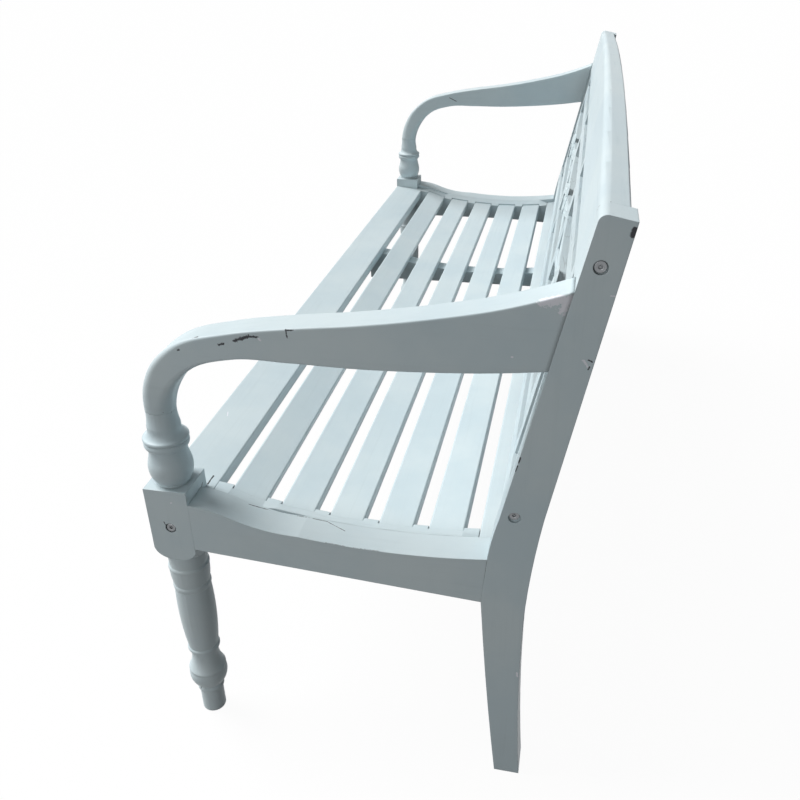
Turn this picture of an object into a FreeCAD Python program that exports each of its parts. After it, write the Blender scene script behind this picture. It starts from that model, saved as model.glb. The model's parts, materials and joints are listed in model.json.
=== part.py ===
import FreeCAD, Part
import math
import os
import Sketcher

# Deacons bench with turned front posts, sweeping arms and a raked fretwork back.
# Millimetres. X runs along the bench, Y from the front to the back, Z up from the floor.
# While the pieces are drawn, Y starts at the front face of the front posts.
# Each piece is then shifted so that the origin lies under the middle of the bench.

doc = FreeCAD.newDocument("deacons_bench")
sheet = doc.addObject("Spreadsheet::Sheet", "Sizes")
pieces = []


class Size:
    """A number together with the expression that gives it from the cells of the sheet."""

    def __init__(self, value, text):
        self.value = float(value)
        self.text = text

    def __add__(self, other):
        other = as_size(other)
        return Size(self.value + other.value, f"({self.text} + {other.text})")

    def __sub__(self, other):
        other = as_size(other)
        return Size(self.value - other.value, f"({self.text} - {other.text})")

    def __mul__(self, other):
        other = as_size(other)
        return Size(self.value * other.value, f"{self.text} * {other.text}")

    def __truediv__(self, other):
        other = as_size(other)
        return Size(self.value / other.value, f"{self.text} / ({other.text})")

    def __neg__(self):
        return Size(-self.value, f"(0 - {self.text})")

    def __radd__(self, other):
        return as_size(other) + self

    def __rsub__(self, other):
        return as_size(other) - self

    def __rmul__(self, other):
        return as_size(other) * self


def as_size(number):
    return number if isinstance(number, Size) else Size(number, f"({float(number)})")


def sine(angle):
    return Size(math.sin(math.radians(angle.value)), f"sin({angle.text})")


def cosine(angle):
    return Size(math.cos(math.radians(angle.value)), f"cos({angle.text})")


def tangent(angle):
    return Size(math.tan(math.radians(angle.value)), f"tan({angle.text})")


rows = []


def size(alias, value):
    """Writes one driving dimension into the sheet and returns it."""
    rows.append(alias)
    row = len(rows)
    sheet.set(f"A{row}", alias.replace("_", " "))
    sheet.set(f"B{row}", str(value))
    sheet.setAlias(f"B{row}", alias)
    return Size(value, f"Sizes.{alias}")


# Frame
length = size("length", 1700)
seat_height = size("seat_height", 445)
joint_gap = size("joint_gap", 0.2)

# Front posts
front_blank = size("front_blank", 62.2)
block_bottom = size("block_bottom", 328)
block_shoulder = size("block_shoulder", 19)
block_shoulder_radius = size("block_shoulder_radius", 32.5)
foot_radius = size("foot_radius", 18.3)
foot_height = size("foot_height", 43)
foot_round = size("foot_round", 2.5)
collar_radius = size("collar_radius", 21)
collar_height = size("collar_height", 11)
collar_neck = size("collar_neck", 3)
torus_radius = size("torus_radius", 29.3)
torus_height = size("torus_height", 31)
flare_radius = size("flare_radius", 28.7)
flare_height = size("flare_height", 4)
cove_radius = size("cove_radius", 20.6)
cove_height = size("cove_height", 38)
vase_bead_radius = size("vase_bead_radius", 24.8)
vase_bead_height = size("vase_bead_height", 9.5)
vase_foot_radius = size("vase_foot_radius", 22.9)
vase_belly_radius = size("vase_belly_radius", 28)
vase_top_radius = size("vase_top_radius", 26.7)
upper_bead_radius = size("upper_bead_radius", 28)
upper_bead_height = size("upper_bead_height", 10)
band_radius = size("band_radius", 29.2)
band_height = size("band_height", 28)
top_bead_radius = size("top_bead_radius", 29.9)
top_bead_height = size("top_bead_height", 7.5)
leg_neck_radius = size("leg_neck_radius", 28)
leg_neck_height = size("leg_neck_height", 24.5)

# Arm supports, turned in one with the front posts
support_base_radius = size("support_base_radius", 23)
support_base_height = size("support_base_height", 4)
bulb_radius = size("bulb_radius", 30.3)
bulb_height = size("bulb_height", 34)
bulb_shoulder_radius = size("bulb_shoulder_radius", 28.2)
throat_radius = size("throat_radius", 25.2)
throat_height = size("throat_height", 18)
ring_radius = size("ring_radius", 30.6)
ring_height = size("ring_height", 12)
lip_groove_radius = size("lip_groove_radius", 28.2)
lip_radius = size("lip_radius", 31)
lip_bead_height = size("lip_bead_height", 5)
lip_flare_height = size("lip_flare_height", 11.5)
support_neck_radius = size("support_neck_radius", 22.5)
arm_joint_height = size("arm_joint_height", 557)
arm_joint_radius = size("arm_joint_radius", 20.3)
tenon_radius = size("tenon_radius", 9)
tenon_length = size("tenon_length", 24)

# Rear posts
rear_post_thickness = size("rear_post_thickness", 46)
rake_angle = size("rake_angle", 11.8)
rake_start_depth = size("rake_start_depth", 477.3)
rake_start_height = size("rake_start_height", 463.5)
back_length = size("back_length", 388.6)
post_top_width = size("post_top_width", 37.5)
post_seat_width = size("post_seat_width", 52.2)
post_corner_round = size("post_corner_round", 9)
rail_seat_bottom_depth = size("rail_seat_bottom_depth", 459.9)
rail_seat_top_depth = size("rail_seat_top_depth", 465.3)
rear_leg_knee_depth = size("rear_leg_knee_depth", 516.4)
rear_leg_knee_height = size("rear_leg_knee_height", 300)
rear_foot_depth = size("rear_foot_depth", 491.8)
rear_foot_width = size("rear_foot_width", 36.2)
rear_leg_hollow = size("rear_leg_hollow", 1.8)
rear_leg_back_hollow = size("rear_leg_back_hollow", 3.6)
knee_bow_depth = size("knee_bow_depth", 4.2)
knee_bow_height = size("knee_bow_height", 78)
back_start_rise = size("back_start_rise", 26.4)
back_start_bow = size("back_start_bow", 5.6)
rail_seat_bow = size("rail_seat_bow", 4.6)

# Seat side rails and the dished bearers behind them
side_rail_front_height = size("side_rail_front_height", 425.5)
side_rail_front_bottom = size("side_rail_front_bottom", 350.4)
side_rail_rear_height = size("side_rail_rear_height", 399)
side_rail_rear_bottom = size("side_rail_rear_bottom", 327)
shoulder_depth = size("shoulder_depth", 112)
shoulder_height = size("shoulder_height", 416)
shoulder_swell = size("shoulder_swell", 1.9)
steep_middle_depth = size("steep_middle_depth", 151.5)
steep_middle_height = size("steep_middle_height", 403.4)
dish_depth = size("dish_depth", 330)
dish_height = size("dish_height", 380.8)
dish_radius = size("dish_radius", 1000)
dish_front_depth = size("dish_front_depth", 215)
steep_slope = size("steep_slope", 0.32)
slat_drop = size("slat_drop", 9)
bearer_thickness = size("bearer_thickness", 30)
bearer_bottom = size("bearer_bottom", 344)

# Seat boards
board_thickness = size("board_thickness", 18)
front_board_width = size("front_board_width", 76)
front_board_height = size("front_board_height", 424.6)
front_board_fall = size("front_board_fall", 0.11)
slat_count = 5
slat_width = size("slat_width", 48.6)
first_slat_depth = size("first_slat_depth", 123)
rear_board_width = size("rear_board_width", 34)
rear_board_lap = size("rear_board_lap", 18.2)
slat_housing = size("slat_housing", 10)
housing_clear = size("housing_clear", 6)
board_round = size("board_round", 2.5)

# Rails under the seat
rail_thickness = size("rail_thickness", 30)
front_rail_setback = size("front_rail_setback", 15)
front_rail_bottom = size("front_rail_bottom", 352)
rear_rail_setback = size("rear_rail_setback", 6)
rear_rail_bottom = size("rear_rail_bottom", 334)
cross_bearer_width = size("cross_bearer_width", 40)
cross_bearer_bottom = size("cross_bearer_bottom", 336)
cross_bearer_offset = size("cross_bearer_offset", 278)

# Arms
arm_thickness = size("arm_thickness", 44)
arm_edge_round = size("arm_edge_round", 2.5)
arm_rear_top = size("arm_rear_top", 762.5)
arm_rear_bottom = size("arm_rear_bottom", 668.2)
arm_shelf_top = size("arm_shelf_top", 706)
arm_shelf_bottom = size("arm_shelf_bottom", 652)
arm_shelf_depth = size("arm_shelf_depth", 300)

# Raked back: crest rail, bottom rail, muntins, fret panels and rosettes
crest_thickness = size("crest_thickness", 32)
crest_bottom = size("crest_bottom", 293)
crest_bottom_rise = size("crest_bottom_rise", 8)
crest_crown = size("crest_crown", 19.5)
crest_round = size("crest_round", 10)
crest_back_round = size("crest_back_round", 3)
back_rail_bottom = size("back_rail_bottom", -14)
back_rail_top = size("back_rail_top", 28)
muntin_width = size("muntin_width", 36)
middle_panel = size("middle_panel", 399)
end_slot = size("end_slot", 66)
fret_thickness = size("fret_thickness", 18)
fret_setback = size("fret_setback", 2)
stub_tenon = size("stub_tenon", 8)
stub_tenon_thickness = size("stub_tenon_thickness", 8)
stub_shoulder = size("stub_shoulder", 5)
fret_slot = size("fret_slot", 29)
fret_bar = size("fret_bar", 28)
fret_margin = size("fret_margin", 12)
fret_arm_width = size("fret_arm_width", 23)
fret_arm_height = size("fret_arm_height", 41)
fret_waist = size("fret_waist", 14)
rosette_radius = size("rosette_radius", 30)
rosette_height = size("rosette_height", 6)
rosette_button = size("rosette_button", 9)
petal_radius = size("petal_radius", 5)
petal_count = 8

# Furniture bolts with barrel nuts, and dowels
bolt_head_radius = size("bolt_head_radius", 7.5)
bolt_head_height = size("bolt_head_height", 3)
bolt_shank_radius = size("bolt_shank_radius", 3)
bolt_socket_radius = size("bolt_socket_radius", 2.3)
bolt_recess = size("bolt_recess", 3)
nut_radius = size("nut_radius", 5)
nut_length = size("nut_length", 14)
nut_place = size("nut_place", 16)
front_bolt_height = size("front_bolt_height", 383.6)
upper_bolt_place = size("upper_bolt_place", 336)
lower_bolt_place = size("lower_bolt_place", 9)
back_bolt_depth = size("back_bolt_depth", 17)
dowel_radius = size("dowel_radius", 5)
dowel_reach = size("dowel_reach", 18)
dowel_inset = size("dowel_inset", 19)

# Worked out from the sizes above
half_length = length / 2
rail_inner = half_length - rear_post_thickness
block_inner = half_length - front_blank
block_centre = front_blank / 2
rake_sine = sine(rake_angle)
rake_cosine = cosine(rake_angle)
post_top_depth = rake_start_depth + back_length * rake_sine
overall_depth = post_top_depth + post_top_width * rake_cosine
middle_shift = overall_depth / 2
fret_middle = (crest_bottom + crest_bottom_rise / 2 + back_rail_top) / 2
inner_muntin = (middle_panel + muntin_width) / 2
outer_muntin = rail_inner - end_slot - muntin_width / 2
muntin_middles = [-outer_muntin, -inner_muntin, inner_muntin, outer_muntin]
panel_count = 3
first_slat_lift = 0.4
sides = {"right": 1, "left": -1}

# The middle of a quarter round, as shares of its radius
corner_reach = math.sqrt(0.5)
corner_bow = 1 - corner_reach


class Corner:
    """A corner of an outline."""

    def __init__(self, across, up):
        self.across = as_size(across)
        self.up = as_size(up)

    def vector(self):
        return FreeCAD.Vector(self.across.value, self.up.value, 0)


class Through(Corner):
    """A point between two corners that an arc passes through."""


def bind(item, name, wanted):
    wanted = as_size(wanted)
    item.setExpression(name, wanted.text)


def new_body(label):
    body = doc.addObject("PartDesign::Body", label)
    body.Label = label
    pieces.append(body)
    return body


def new_sketch(body, name, role, offset=None):
    """A sketch on one of the origin planes of its own body, moved by the offset."""
    sketch = body.newObject("Sketcher::SketchObject", name)
    plane = next(feature for feature in body.Origin.OriginFeatures if feature.Role == role)
    sketch.AttachmentSupport = [(plane, "")]
    sketch.MapMode = "FlatFace"
    if offset is not None:
        sketch.AttachmentOffset = offset
    return sketch


def add_outline(sketch, path):
    """Draws a closed outline whose corners and arcs are held by the sizes in the path."""
    corners = [index for index, point in enumerate(path) if not isinstance(point, Through)]
    first = sketch.GeometryCount
    curves = []
    starts = []
    ends = []
    marks = []
    for order, index in enumerate(corners):
        begin = path[index].vector()
        finish = path[corners[(order + 1) % len(corners)]].vector()
        between = path[(index + 1) % len(path)]
        starts.append(1)
        ends.append(2)
        if isinstance(between, Through):
            middle = between.vector()
            turn = (middle - begin).cross(finish - middle).z
            if turn > 0:
                curves.append(Part.Arc(begin, middle, finish))
            else:
                curves.append(Part.Arc(finish, middle, begin))
                starts[-1] = 2
                ends[-1] = 1
            marks.append((first + order, between))
        else:
            curves.append(Part.LineSegment(begin, finish))
    sketch.addGeometry(curves, False)
    sketch.addGeometry([Part.Point(point.vector()) for _, point in marks], True)
    rules = []
    bound = []
    for order, index in enumerate(corners):
        after = (order + 1) % len(corners)
        rules.append(
            Sketcher.Constraint("Coincident", first + order, ends[order], first + after, starts[after])
        )
        for kind, wanted in (("DistanceX", path[index].across), ("DistanceY", path[index].up)):
            bound.append((len(rules), wanted))
            rules.append(Sketcher.Constraint(kind, first + order, starts[order], wanted.value))
    for order, (curve, point) in enumerate(marks):
        mark = first + len(corners) + order
        rules.append(Sketcher.Constraint("PointOnObject", mark, 1, curve))
        for kind, wanted in (("DistanceX", point.across), ("DistanceY", point.up)):
            bound.append((len(rules), wanted))
            rules.append(Sketcher.Constraint(kind, mark, 1, wanted.value))
    add_rules(sketch, rules, bound)


def add_circle(sketch, across, up, radius):
    across = as_size(across)
    up = as_size(up)
    circle = sketch.addGeometry(Part.Circle(FreeCAD.Vector(across.value, up.value, 0),
                                            FreeCAD.Vector(0, 0, 1), radius.value), False)
    rules = [
        Sketcher.Constraint("DistanceX", circle, 3, across.value),
        Sketcher.Constraint("DistanceY", circle, 3, up.value),
        Sketcher.Constraint("Radius", circle, radius.value),
    ]
    add_rules(sketch, rules, [(0, across), (1, up), (2, radius)])


def add_rules(sketch, rules, bound):
    """Adds constraints and ties the sizes among them to the sheet."""
    before = sketch.ConstraintCount
    sketch.addConstraint(rules)
    for order, wanted in bound:
        sketch.setExpression(f"Constraints[{before + order}]", wanted.text)


def add_box(sketch, left, bottom, right, top):
    add_outline(sketch, [Corner(left, bottom), Corner(right, bottom), Corner(right, top), Corner(left, top)])


def add_feature(body, kind, name, profile, depth=None, backwards=False):
    """A pad, pocket, revolution or groove made from a sketch of the same body."""
    feature = body.newObject(f"PartDesign::{kind}", name)
    feature.Profile = profile
    if depth is None:
        feature.ReferenceAxis = (profile, ["V_Axis"])
        feature.Angle = 360
    else:
        bind(feature, "Length", depth)
    feature.Reversed = backwards
    profile.Visibility = False
    body.Tip = feature
    return feature


def round_edges(body, name, radius, wanted):
    """Rounds the edges of the body so far whose middle passes the test."""
    doc.recompute()
    base = body.Tip
    names = []
    for order, edge in enumerate(base.Shape.Edges, start=1):
        middle = edge.valueAt((edge.FirstParameter + edge.LastParameter) / 2)
        if wanted(edge, middle):
            names.append(f"Edge{order}")
    if not names:
        raise ValueError(f"{body.Label}: no edge to round for {name}")
    fillet = body.newObject("PartDesign::Fillet", name)
    fillet.Base = (base, names)
    bind(fillet, "Radius", radius)
    body.Tip = fillet
    return fillet


def along_x(edge):
    ends = edge.Vertexes
    if len(ends) < 2:
        return False
    run = ends[1].Point - ends[0].Point
    return abs(run.x) > 0.9 * run.Length


def across_offset(distance):
    """An offset for a sketch on the plane across the bench, at a distance along X."""
    return FreeCAD.Placement(FreeCAD.Vector(0, 0, distance), FreeCAD.Rotation())


def seat_frame(across=0.0, depth=0.0, height=0.0, tilt=0.0):
    """A place measured from the front face of the posts, with a tilt about X in degrees."""
    return FreeCAD.Placement(
        FreeCAD.Vector(across, depth - middle_shift.value, height),
        FreeCAD.Rotation(FreeCAD.Vector(1, 0, 0), tilt),
    )


def back_frame(across=0.0):
    """The raked frame of the back: Y starts at the front faces, Z runs up the rake."""
    return seat_frame(across, rake_start_depth.value, rake_start_height.value, -rake_angle.value)


def dish(depth):
    """Height of the slat tops over the dished part of the seat."""
    start = first_slat_depth + slat_width / 2
    if depth >= start.value:
        run = depth - dish_depth.value
        return dish_height.value + dish_radius.value - math.sqrt(dish_radius.value ** 2 - run ** 2)
    return dish(start.value) + steep_slope.value * (start.value - depth)


def slat_edges(order):
    """Front and rear top edges of a slat, as depth and height."""
    middle = first_slat_depth.value + order * slat_pitch.value
    front = middle - slat_width.value / 2
    rear = middle + slat_width.value / 2
    return (front, dish(front)), (rear, dish(rear))


class Turning:
    """The outline of a turned stretch, drawn from its lower end upwards."""

    def __init__(self, height, radius):
        self.height = as_size(height)
        self.path = [Corner(0, height), Corner(radius, height)]

    def to(self, radius, rise=0):
        self.height = self.height + rise
        self.path.append(Corner(radius, self.height))

    def curve(self, middle_radius, end_radius, rise, share=0.5):
        self.path.append(Through(middle_radius, self.height + rise * share))
        self.to(end_radius, rise)

    def close(self):
        self.path.append(Corner(0, self.height))
        return self.path


def leg_turning():
    """Foot, collar, torus, cove, vase, beads and neck, up to the square block."""
    turning = Turning(0, foot_radius - foot_round)
    turning.curve(foot_radius - foot_round * corner_bow, foot_radius, foot_round, corner_bow)
    turning.to(foot_radius, foot_height - foot_round)
    turning.curve(collar_radius, foot_radius + 1, collar_height)
    turning.to(foot_radius + 2, collar_neck)
    turning.curve(torus_radius, flare_radius - 0.7, torus_height, 0.6)
    turning.to(flare_radius, 1)
    turning.to(flare_radius, flare_height - 1)
    turning.curve(cove_radius + 1.2, vase_foot_radius - 1, cove_height, 0.5)
    turning.curve(vase_bead_radius, vase_foot_radius, vase_bead_height)
    others = (
        vase_bead_height + upper_bead_height + band_height + top_bead_height + leg_neck_height
        + foot_height + collar_height + collar_neck + torus_height + flare_height + cove_height
    )
    turning.curve(vase_belly_radius, vase_top_radius, block_bottom - others, 0.66)
    turning.curve(upper_bead_radius, vase_top_radius, upper_bead_height)
    turning.curve(band_radius - 0.7, band_radius, band_height, 0.45)
    turning.curve(top_bead_radius, leg_neck_radius, top_bead_height, 0.4)
    turning.to(leg_neck_radius, leg_neck_height)
    return turning.close()


def support_turning():
    """Bulb, throat, ring, flared lip and neck above the block, with a tenon for the arm."""
    turning = Turning(seat_height, support_base_radius)
    turning.to(support_base_radius, support_base_height)
    turning.to(support_base_radius + 2, 1)
    turning.curve(bulb_radius, bulb_shoulder_radius, bulb_height - 1, 0.5)
    turning.curve(throat_radius + 1, throat_radius, throat_height - 1, 0.55)
    turning.curve(ring_radius, lip_groove_radius, ring_height)
    turning.to(lip_radius - 1)
    turning.curve(lip_radius, lip_radius - 1, lip_bead_height)
    flare_middle = support_neck_radius + (lip_radius - support_neck_radius) * 0.27
    turning.curve(flare_middle, support_neck_radius, lip_flare_height, 0.35)
    turning.to(support_neck_radius, 5)
    turning.curve(arm_joint_radius + 0.2, arm_joint_radius, arm_joint_height - turning.height, 0.55)
    turning.to(tenon_radius)
    turning.to(tenon_radius, tenon_length)
    return turning.close()


def make_front_post(side):
    """Square block with round shoulders between a turned leg and a turned arm support."""
    body = new_body(f"front_post_{side}")
    half = front_blank / 2
    block_sketch = new_sketch(body, f"block_sketch_{side}", "XY_Plane", across_offset(block_bottom.value))
    add_box(block_sketch, -half, -half, half, half)
    add_feature(body, "Pad", f"block_{side}", block_sketch, seat_height - block_bottom)
    shoulder_sketch = new_sketch(body, f"shoulder_sketch_{side}", "XZ_Plane")
    reach = front_blank * 0.75
    add_outline(shoulder_sketch, [
        Corner(block_shoulder_radius, block_bottom - 1),
        Corner(reach, block_bottom - 1),
        Corner(reach, block_bottom + block_shoulder),
        Corner(front_blank * 0.708, block_bottom + block_shoulder),
        Through(front_blank * 0.65, block_bottom + block_shoulder * 0.42),
        Corner(block_shoulder_radius, block_bottom),
    ])
    add_feature(body, "Groove", f"shoulder_{side}", shoulder_sketch)
    leg_sketch = new_sketch(body, f"leg_sketch_{side}", "XZ_Plane")
    add_outline(leg_sketch, leg_turning())
    add_feature(body, "Revolution", f"leg_{side}", leg_sketch)
    support_sketch = new_sketch(body, f"support_sketch_{side}", "XZ_Plane")
    add_outline(support_sketch, support_turning())
    add_feature(body, "Revolution", f"support_{side}", support_sketch)
    sign = sides[side]
    drill_bolt(body, sign, half, Size(0, "0"), front_bolt_height, front_blank)
    drill_dowels(body, half, as_size(sign) * (half - rear_post_thickness / 2), front_dowel_heights)
    body.Placement = seat_frame(sign * (half_length.value - half.value), half.value, 0)
    return body


def drill_bolt(body, sign, outer, depth, height, grip):
    """A recess for the bolt's head in the outer face and a hole right through the post."""
    recess = new_sketch(body, f"{body.Name}_recess_sketch_{len(body.Group)}", "YZ_Plane",
                        across_offset(sign * outer.value))
    add_circle(recess, depth, height, bolt_head_radius + joint_gap)
    add_feature(body, "Pocket", f"{body.Name}_recess_{len(body.Group)}", recess, bolt_recess, sign < 0)
    hole = new_sketch(body, f"{body.Name}_hole_sketch_{len(body.Group)}", "YZ_Plane",
                      across_offset(sign * outer.value))
    add_circle(hole, depth, height, bolt_shank_radius + joint_gap)
    add_feature(body, "Pocket", f"{body.Name}_hole_{len(body.Group)}", hole, grip, sign < 0)


def drill_dowels(body, seat_depth, across, heights):
    """Two holes along Y for the dowels of a side rail joint, on both sides of its seat."""
    sketch = new_sketch(body, f"{body.Name}_dowel_sketch_{len(body.Group)}", "XZ_Plane",
                        across_offset(dowel_reach.value + joint_gap.value - seat_depth.value))
    for height in heights:
        add_circle(sketch, across, height, dowel_radius + joint_gap)
    add_feature(body, "Pocket", f"{body.Name}_dowels_{len(body.Group)}", sketch,
                (dowel_reach + joint_gap) * 2)


def on_rake(place):
    """Depth and height of a point of the raked front line, from its place along the rake."""
    return rake_start_depth + place * rake_sine, rake_start_height + place * rake_cosine


def rake_depth(height):
    """Depth of the raked front line at a height."""
    return rake_start_depth + (height - rake_start_height) * tangent(rake_angle)


def bolt_point(place):
    """Depth and height of a bolt that runs along the bench through the back."""
    depth, height = on_rake(place)
    return depth + back_bolt_depth * rake_cosine, height - back_bolt_depth * rake_sine


def make_rear_post(side):
    """Rear leg and back post in one sawn piece, curved below the seat and raked above it."""
    body = new_body(f"rear_post_{side}")
    sign = sides[side]
    sketch = new_sketch(body, f"profile_{side}", "YZ_Plane", across_offset(sign * rail_inner.value))
    top_depth, top_height = on_rake(back_length)
    round_depth, round_height = on_rake(back_length - post_corner_round)
    seat_rear_depth = rake_depth(seat_height) + post_seat_width
    add_outline(sketch, [
        Corner(rear_foot_depth, 0),
        Corner(rear_foot_depth + rear_foot_width, 0),
        Through((rear_foot_depth + rear_foot_width + rear_leg_knee_depth) / 2 - rear_leg_back_hollow,
                rear_leg_knee_height / 2),
        Corner(rear_leg_knee_depth, rear_leg_knee_height),
        Through(rear_leg_knee_depth + knee_bow_depth, rear_leg_knee_height + knee_bow_height),
        Corner(seat_rear_depth + back_start_bow, seat_height + back_start_rise),
        Corner(top_depth + post_top_width * rake_cosine, top_height - post_top_width * rake_sine),
        Corner(top_depth + post_corner_round * rake_cosine, top_height - post_corner_round * rake_sine),
        Through(round_depth + post_corner_round * (rake_cosine * corner_bow + rake_sine * corner_reach),
                round_height + post_corner_round * (rake_cosine * corner_reach - rake_sine * corner_bow)),
        Corner(round_depth, round_height),
        Corner(rake_start_depth, rake_start_height),
        Through(rail_seat_top_depth + rail_seat_bow, (side_rail_rear_height + rake_start_height) / 2),
        Corner(rail_seat_top_depth, side_rail_rear_height),
        Corner(rail_seat_bottom_depth, side_rail_rear_bottom),
        Through((rail_seat_bottom_depth + rear_foot_depth) / 2 - rear_leg_hollow,
                side_rail_rear_bottom / 2),
    ])
    add_feature(body, "Pad", f"blank_{side}", sketch, rear_post_thickness, sign < 0)
    for place in (upper_bolt_place, lower_bolt_place):
        depth, height = bolt_point(place)
        drill_bolt(body, sign, half_length, depth, height, rear_post_thickness)
    drill_dowels(body, rear_seat_depth, as_size(sign) * rail_middle, rear_dowel_heights)
    body.Placement = seat_frame()
    return body


def make_side_rail(side):
    """Deep rail between front block and rear post, its top edge sawn to the dish of the seat."""
    body = new_body(f"seat_side_rail_{side}")
    sign = sides[side]
    sketch = new_sketch(body, f"profile_{side}", "YZ_Plane", across_offset(sign * rail_inner.value))
    low = dish_height + slat_drop
    add_outline(sketch, [
        Corner(front_blank, side_rail_front_bottom),
        Corner(rail_seat_bottom_depth, side_rail_rear_bottom),
        Corner(rail_seat_top_depth, side_rail_rear_height),
        Through(dish_depth, low),
        Corner(dish_front_depth, low + (dish_depth - dish_front_depth) * (dish_depth - dish_front_depth)
               / (dish_radius * 2)),
        Through(steep_middle_depth, steep_middle_height),
        Corner(shoulder_depth, shoulder_height),
        Through((front_blank + shoulder_depth) / 2, (side_rail_front_height + shoulder_height) / 2
                + shoulder_swell),
        Corner(front_blank, side_rail_front_height),
    ])
    add_feature(body, "Pad", f"blank_{side}", sketch, rear_post_thickness, sign < 0)
    across = as_size(sign) * rail_middle
    drill_dowels(body, front_blank, across, front_dowel_heights)
    drill_dowels(body, rear_seat_depth, across, rear_dowel_heights)
    body.Placement = seat_frame()
    return body


def under_edges(order):
    """The two lower edges of a slat, as depth and height."""
    front, rear = slat_edges(order)
    tilt = math.atan2(rear[1] - front[1], rear[0] - front[0])
    drop = board_thickness.value
    return [
        (depth + drop * math.sin(tilt), height - drop * math.cos(tilt)) for depth, height in (front, rear)
    ]


def front_board_top(depth):
    return front_board_height - front_board_fall * depth


def rear_board_edges():
    """Front and rear top edges of the rear board, as depth and height."""
    front = slat_edges(slat_count)[0][0]
    rear = front + rear_board_width.value
    return (front, dish(front)), (rear, dish(rear))


def bearer_profile(raised):
    """Outline of a slat bearer, its stretch under the slats raised by up to the drop of the slats."""
    rear_front = rear_board_edges()[0]
    path = [
        Corner(front_blank, bearer_bottom),
        Corner(rear_rail_front, bearer_bottom),
        Corner(rear_rail_front, rear_board_under(rear_rail_front.value)),
        Corner(rear_front[0], rear_board_under(rear_front[0])),
        Corner(rear_front[0], rear_front[1]),
    ]
    for order in reversed(range(slat_count)):
        front, rear = slat_edges(order)
        lift = slat_drop * (raised if order > 0 else raised * first_slat_lift)
        path.append(Corner(rear[0], lift + rear[1]))
        path.append(Corner(front[0], lift + front[1]))
    path += [
        Corner(front_board_width, front_board_top(front_board_width)),
        Corner(front_board_width, front_board_top(front_board_width) - board_thickness),
        Corner(front_blank, front_board_top(front_blank) - board_thickness),
    ]
    return path


def make_slat_bearer(side):
    """Dished bearer on the inner face of a side rail, with a housing for the end of each slat."""
    body = new_body(f"slat_bearer_{side}")
    sign = sides[side]
    inner = rail_inner - bearer_thickness
    faces = []
    for name, across, raised in (("inner", inner, 0), ("outer", rail_inner, 1)):
        sketch = new_sketch(body, f"{name}_profile_{side}", "YZ_Plane", across_offset(sign * across.value))
        add_outline(sketch, bearer_profile(raised))
        faces.append(sketch)
    blank = body.newObject("PartDesign::AdditiveLoft", f"blank_{side}")
    blank.Profile = faces[0]
    blank.Sections = faces[1:]
    blank.Ruled = True
    body.Tip = blank
    housing = new_sketch(body, f"housing_sketch_{side}", "YZ_Plane", across_offset(sign * inner.value))
    for order in range(slat_count):
        front, rear = slat_edges(order)
        under_front, under_rear = under_edges(order)
        slope = (rear[1] - front[1]) / (rear[0] - front[0])
        gap = joint_gap.value
        above = housing_clear.value / board_thickness.value
        add_outline(housing, [
            Corner(under_front[0] - gap, under_front[1] - gap * slope),
            Corner(under_rear[0] + gap, under_rear[1] + gap * slope),
            Corner(rear[0] + gap + (rear[0] - under_rear[0]) * above,
                   rear[1] + (rear[1] - under_rear[1]) * above),
            Corner(front[0] - gap + (front[0] - under_front[0]) * above,
                   front[1] + (front[1] - under_front[1]) * above),
        ])
    add_feature(body, "Pocket", f"housing_{side}", housing, slat_housing, sign > 0)
    body.Placement = seat_frame()
    return body


def rear_board_under(depth):
    """Height of the underside of the rear board at a depth."""
    front, rear = rear_board_edges()
    slope = (rear[1] - front[1]) / (rear[0] - front[0])
    return front[1] + slope * (depth - front[0]) - board_thickness.value * math.hypot(1, slope)


def make_slat(order):
    """A flat seat slat, tilted to its chord of the dish."""
    body = new_body(f"seat_slat_{order + 1}")
    front, rear = slat_edges(order)
    stretch = math.hypot(rear[0] - front[0], rear[1] - front[1]) / slat_width.value
    width = slat_width * stretch
    sketch = new_sketch(body, f"section_{order}", "YZ_Plane", across_offset(-slat_half.value))
    add_box(sketch, 0, -board_thickness, width, 0)
    add_feature(body, "Pad", f"board_{order}", sketch, slat_half * 2)
    round_edges(body, f"arris_{order}", board_round, lambda edge, middle: along_x(edge) and middle.z > -1)
    tilt = math.degrees(math.atan2(rear[1] - front[1], rear[0] - front[0]))
    body.Placement = seat_frame(0, front[0], front[1], tilt)
    return body


def make_front_board():
    """Front seat board, flush with the front of the posts and notched round their blocks."""
    body = new_body("front_seat_board")
    half = rail_inner - joint_gap
    sketch = new_sketch(body, "front_board_section", "YZ_Plane", across_offset(-half.value))
    add_outline(sketch, [
        Corner(0, front_board_top(0) - board_thickness),
        Corner(front_board_width, front_board_top(front_board_width) - board_thickness),
        Corner(front_board_width, front_board_top(front_board_width)),
        Corner(0, front_board_top(0)),
    ])
    add_feature(body, "Pad", "front_board_blank", sketch, half * 2)
    notch = new_sketch(body, "front_board_notches", "XY_Plane", across_offset(seat_height.value))
    edge = block_inner - joint_gap
    depth = front_blank + joint_gap
    add_box(notch, edge, -5, half + 5, depth)
    add_box(notch, -half - 5, -5, -edge, depth)
    add_feature(body, "Pocket", "front_board_notch", notch, seat_height / 4)
    round_edges(body, "front_board_arris", board_round,
                lambda edge, middle: along_x(edge) and middle.z > front_board_top(front_board_width).value - 1
                and abs(middle.x) < 1)
    body.Placement = seat_frame()
    return body


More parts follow.
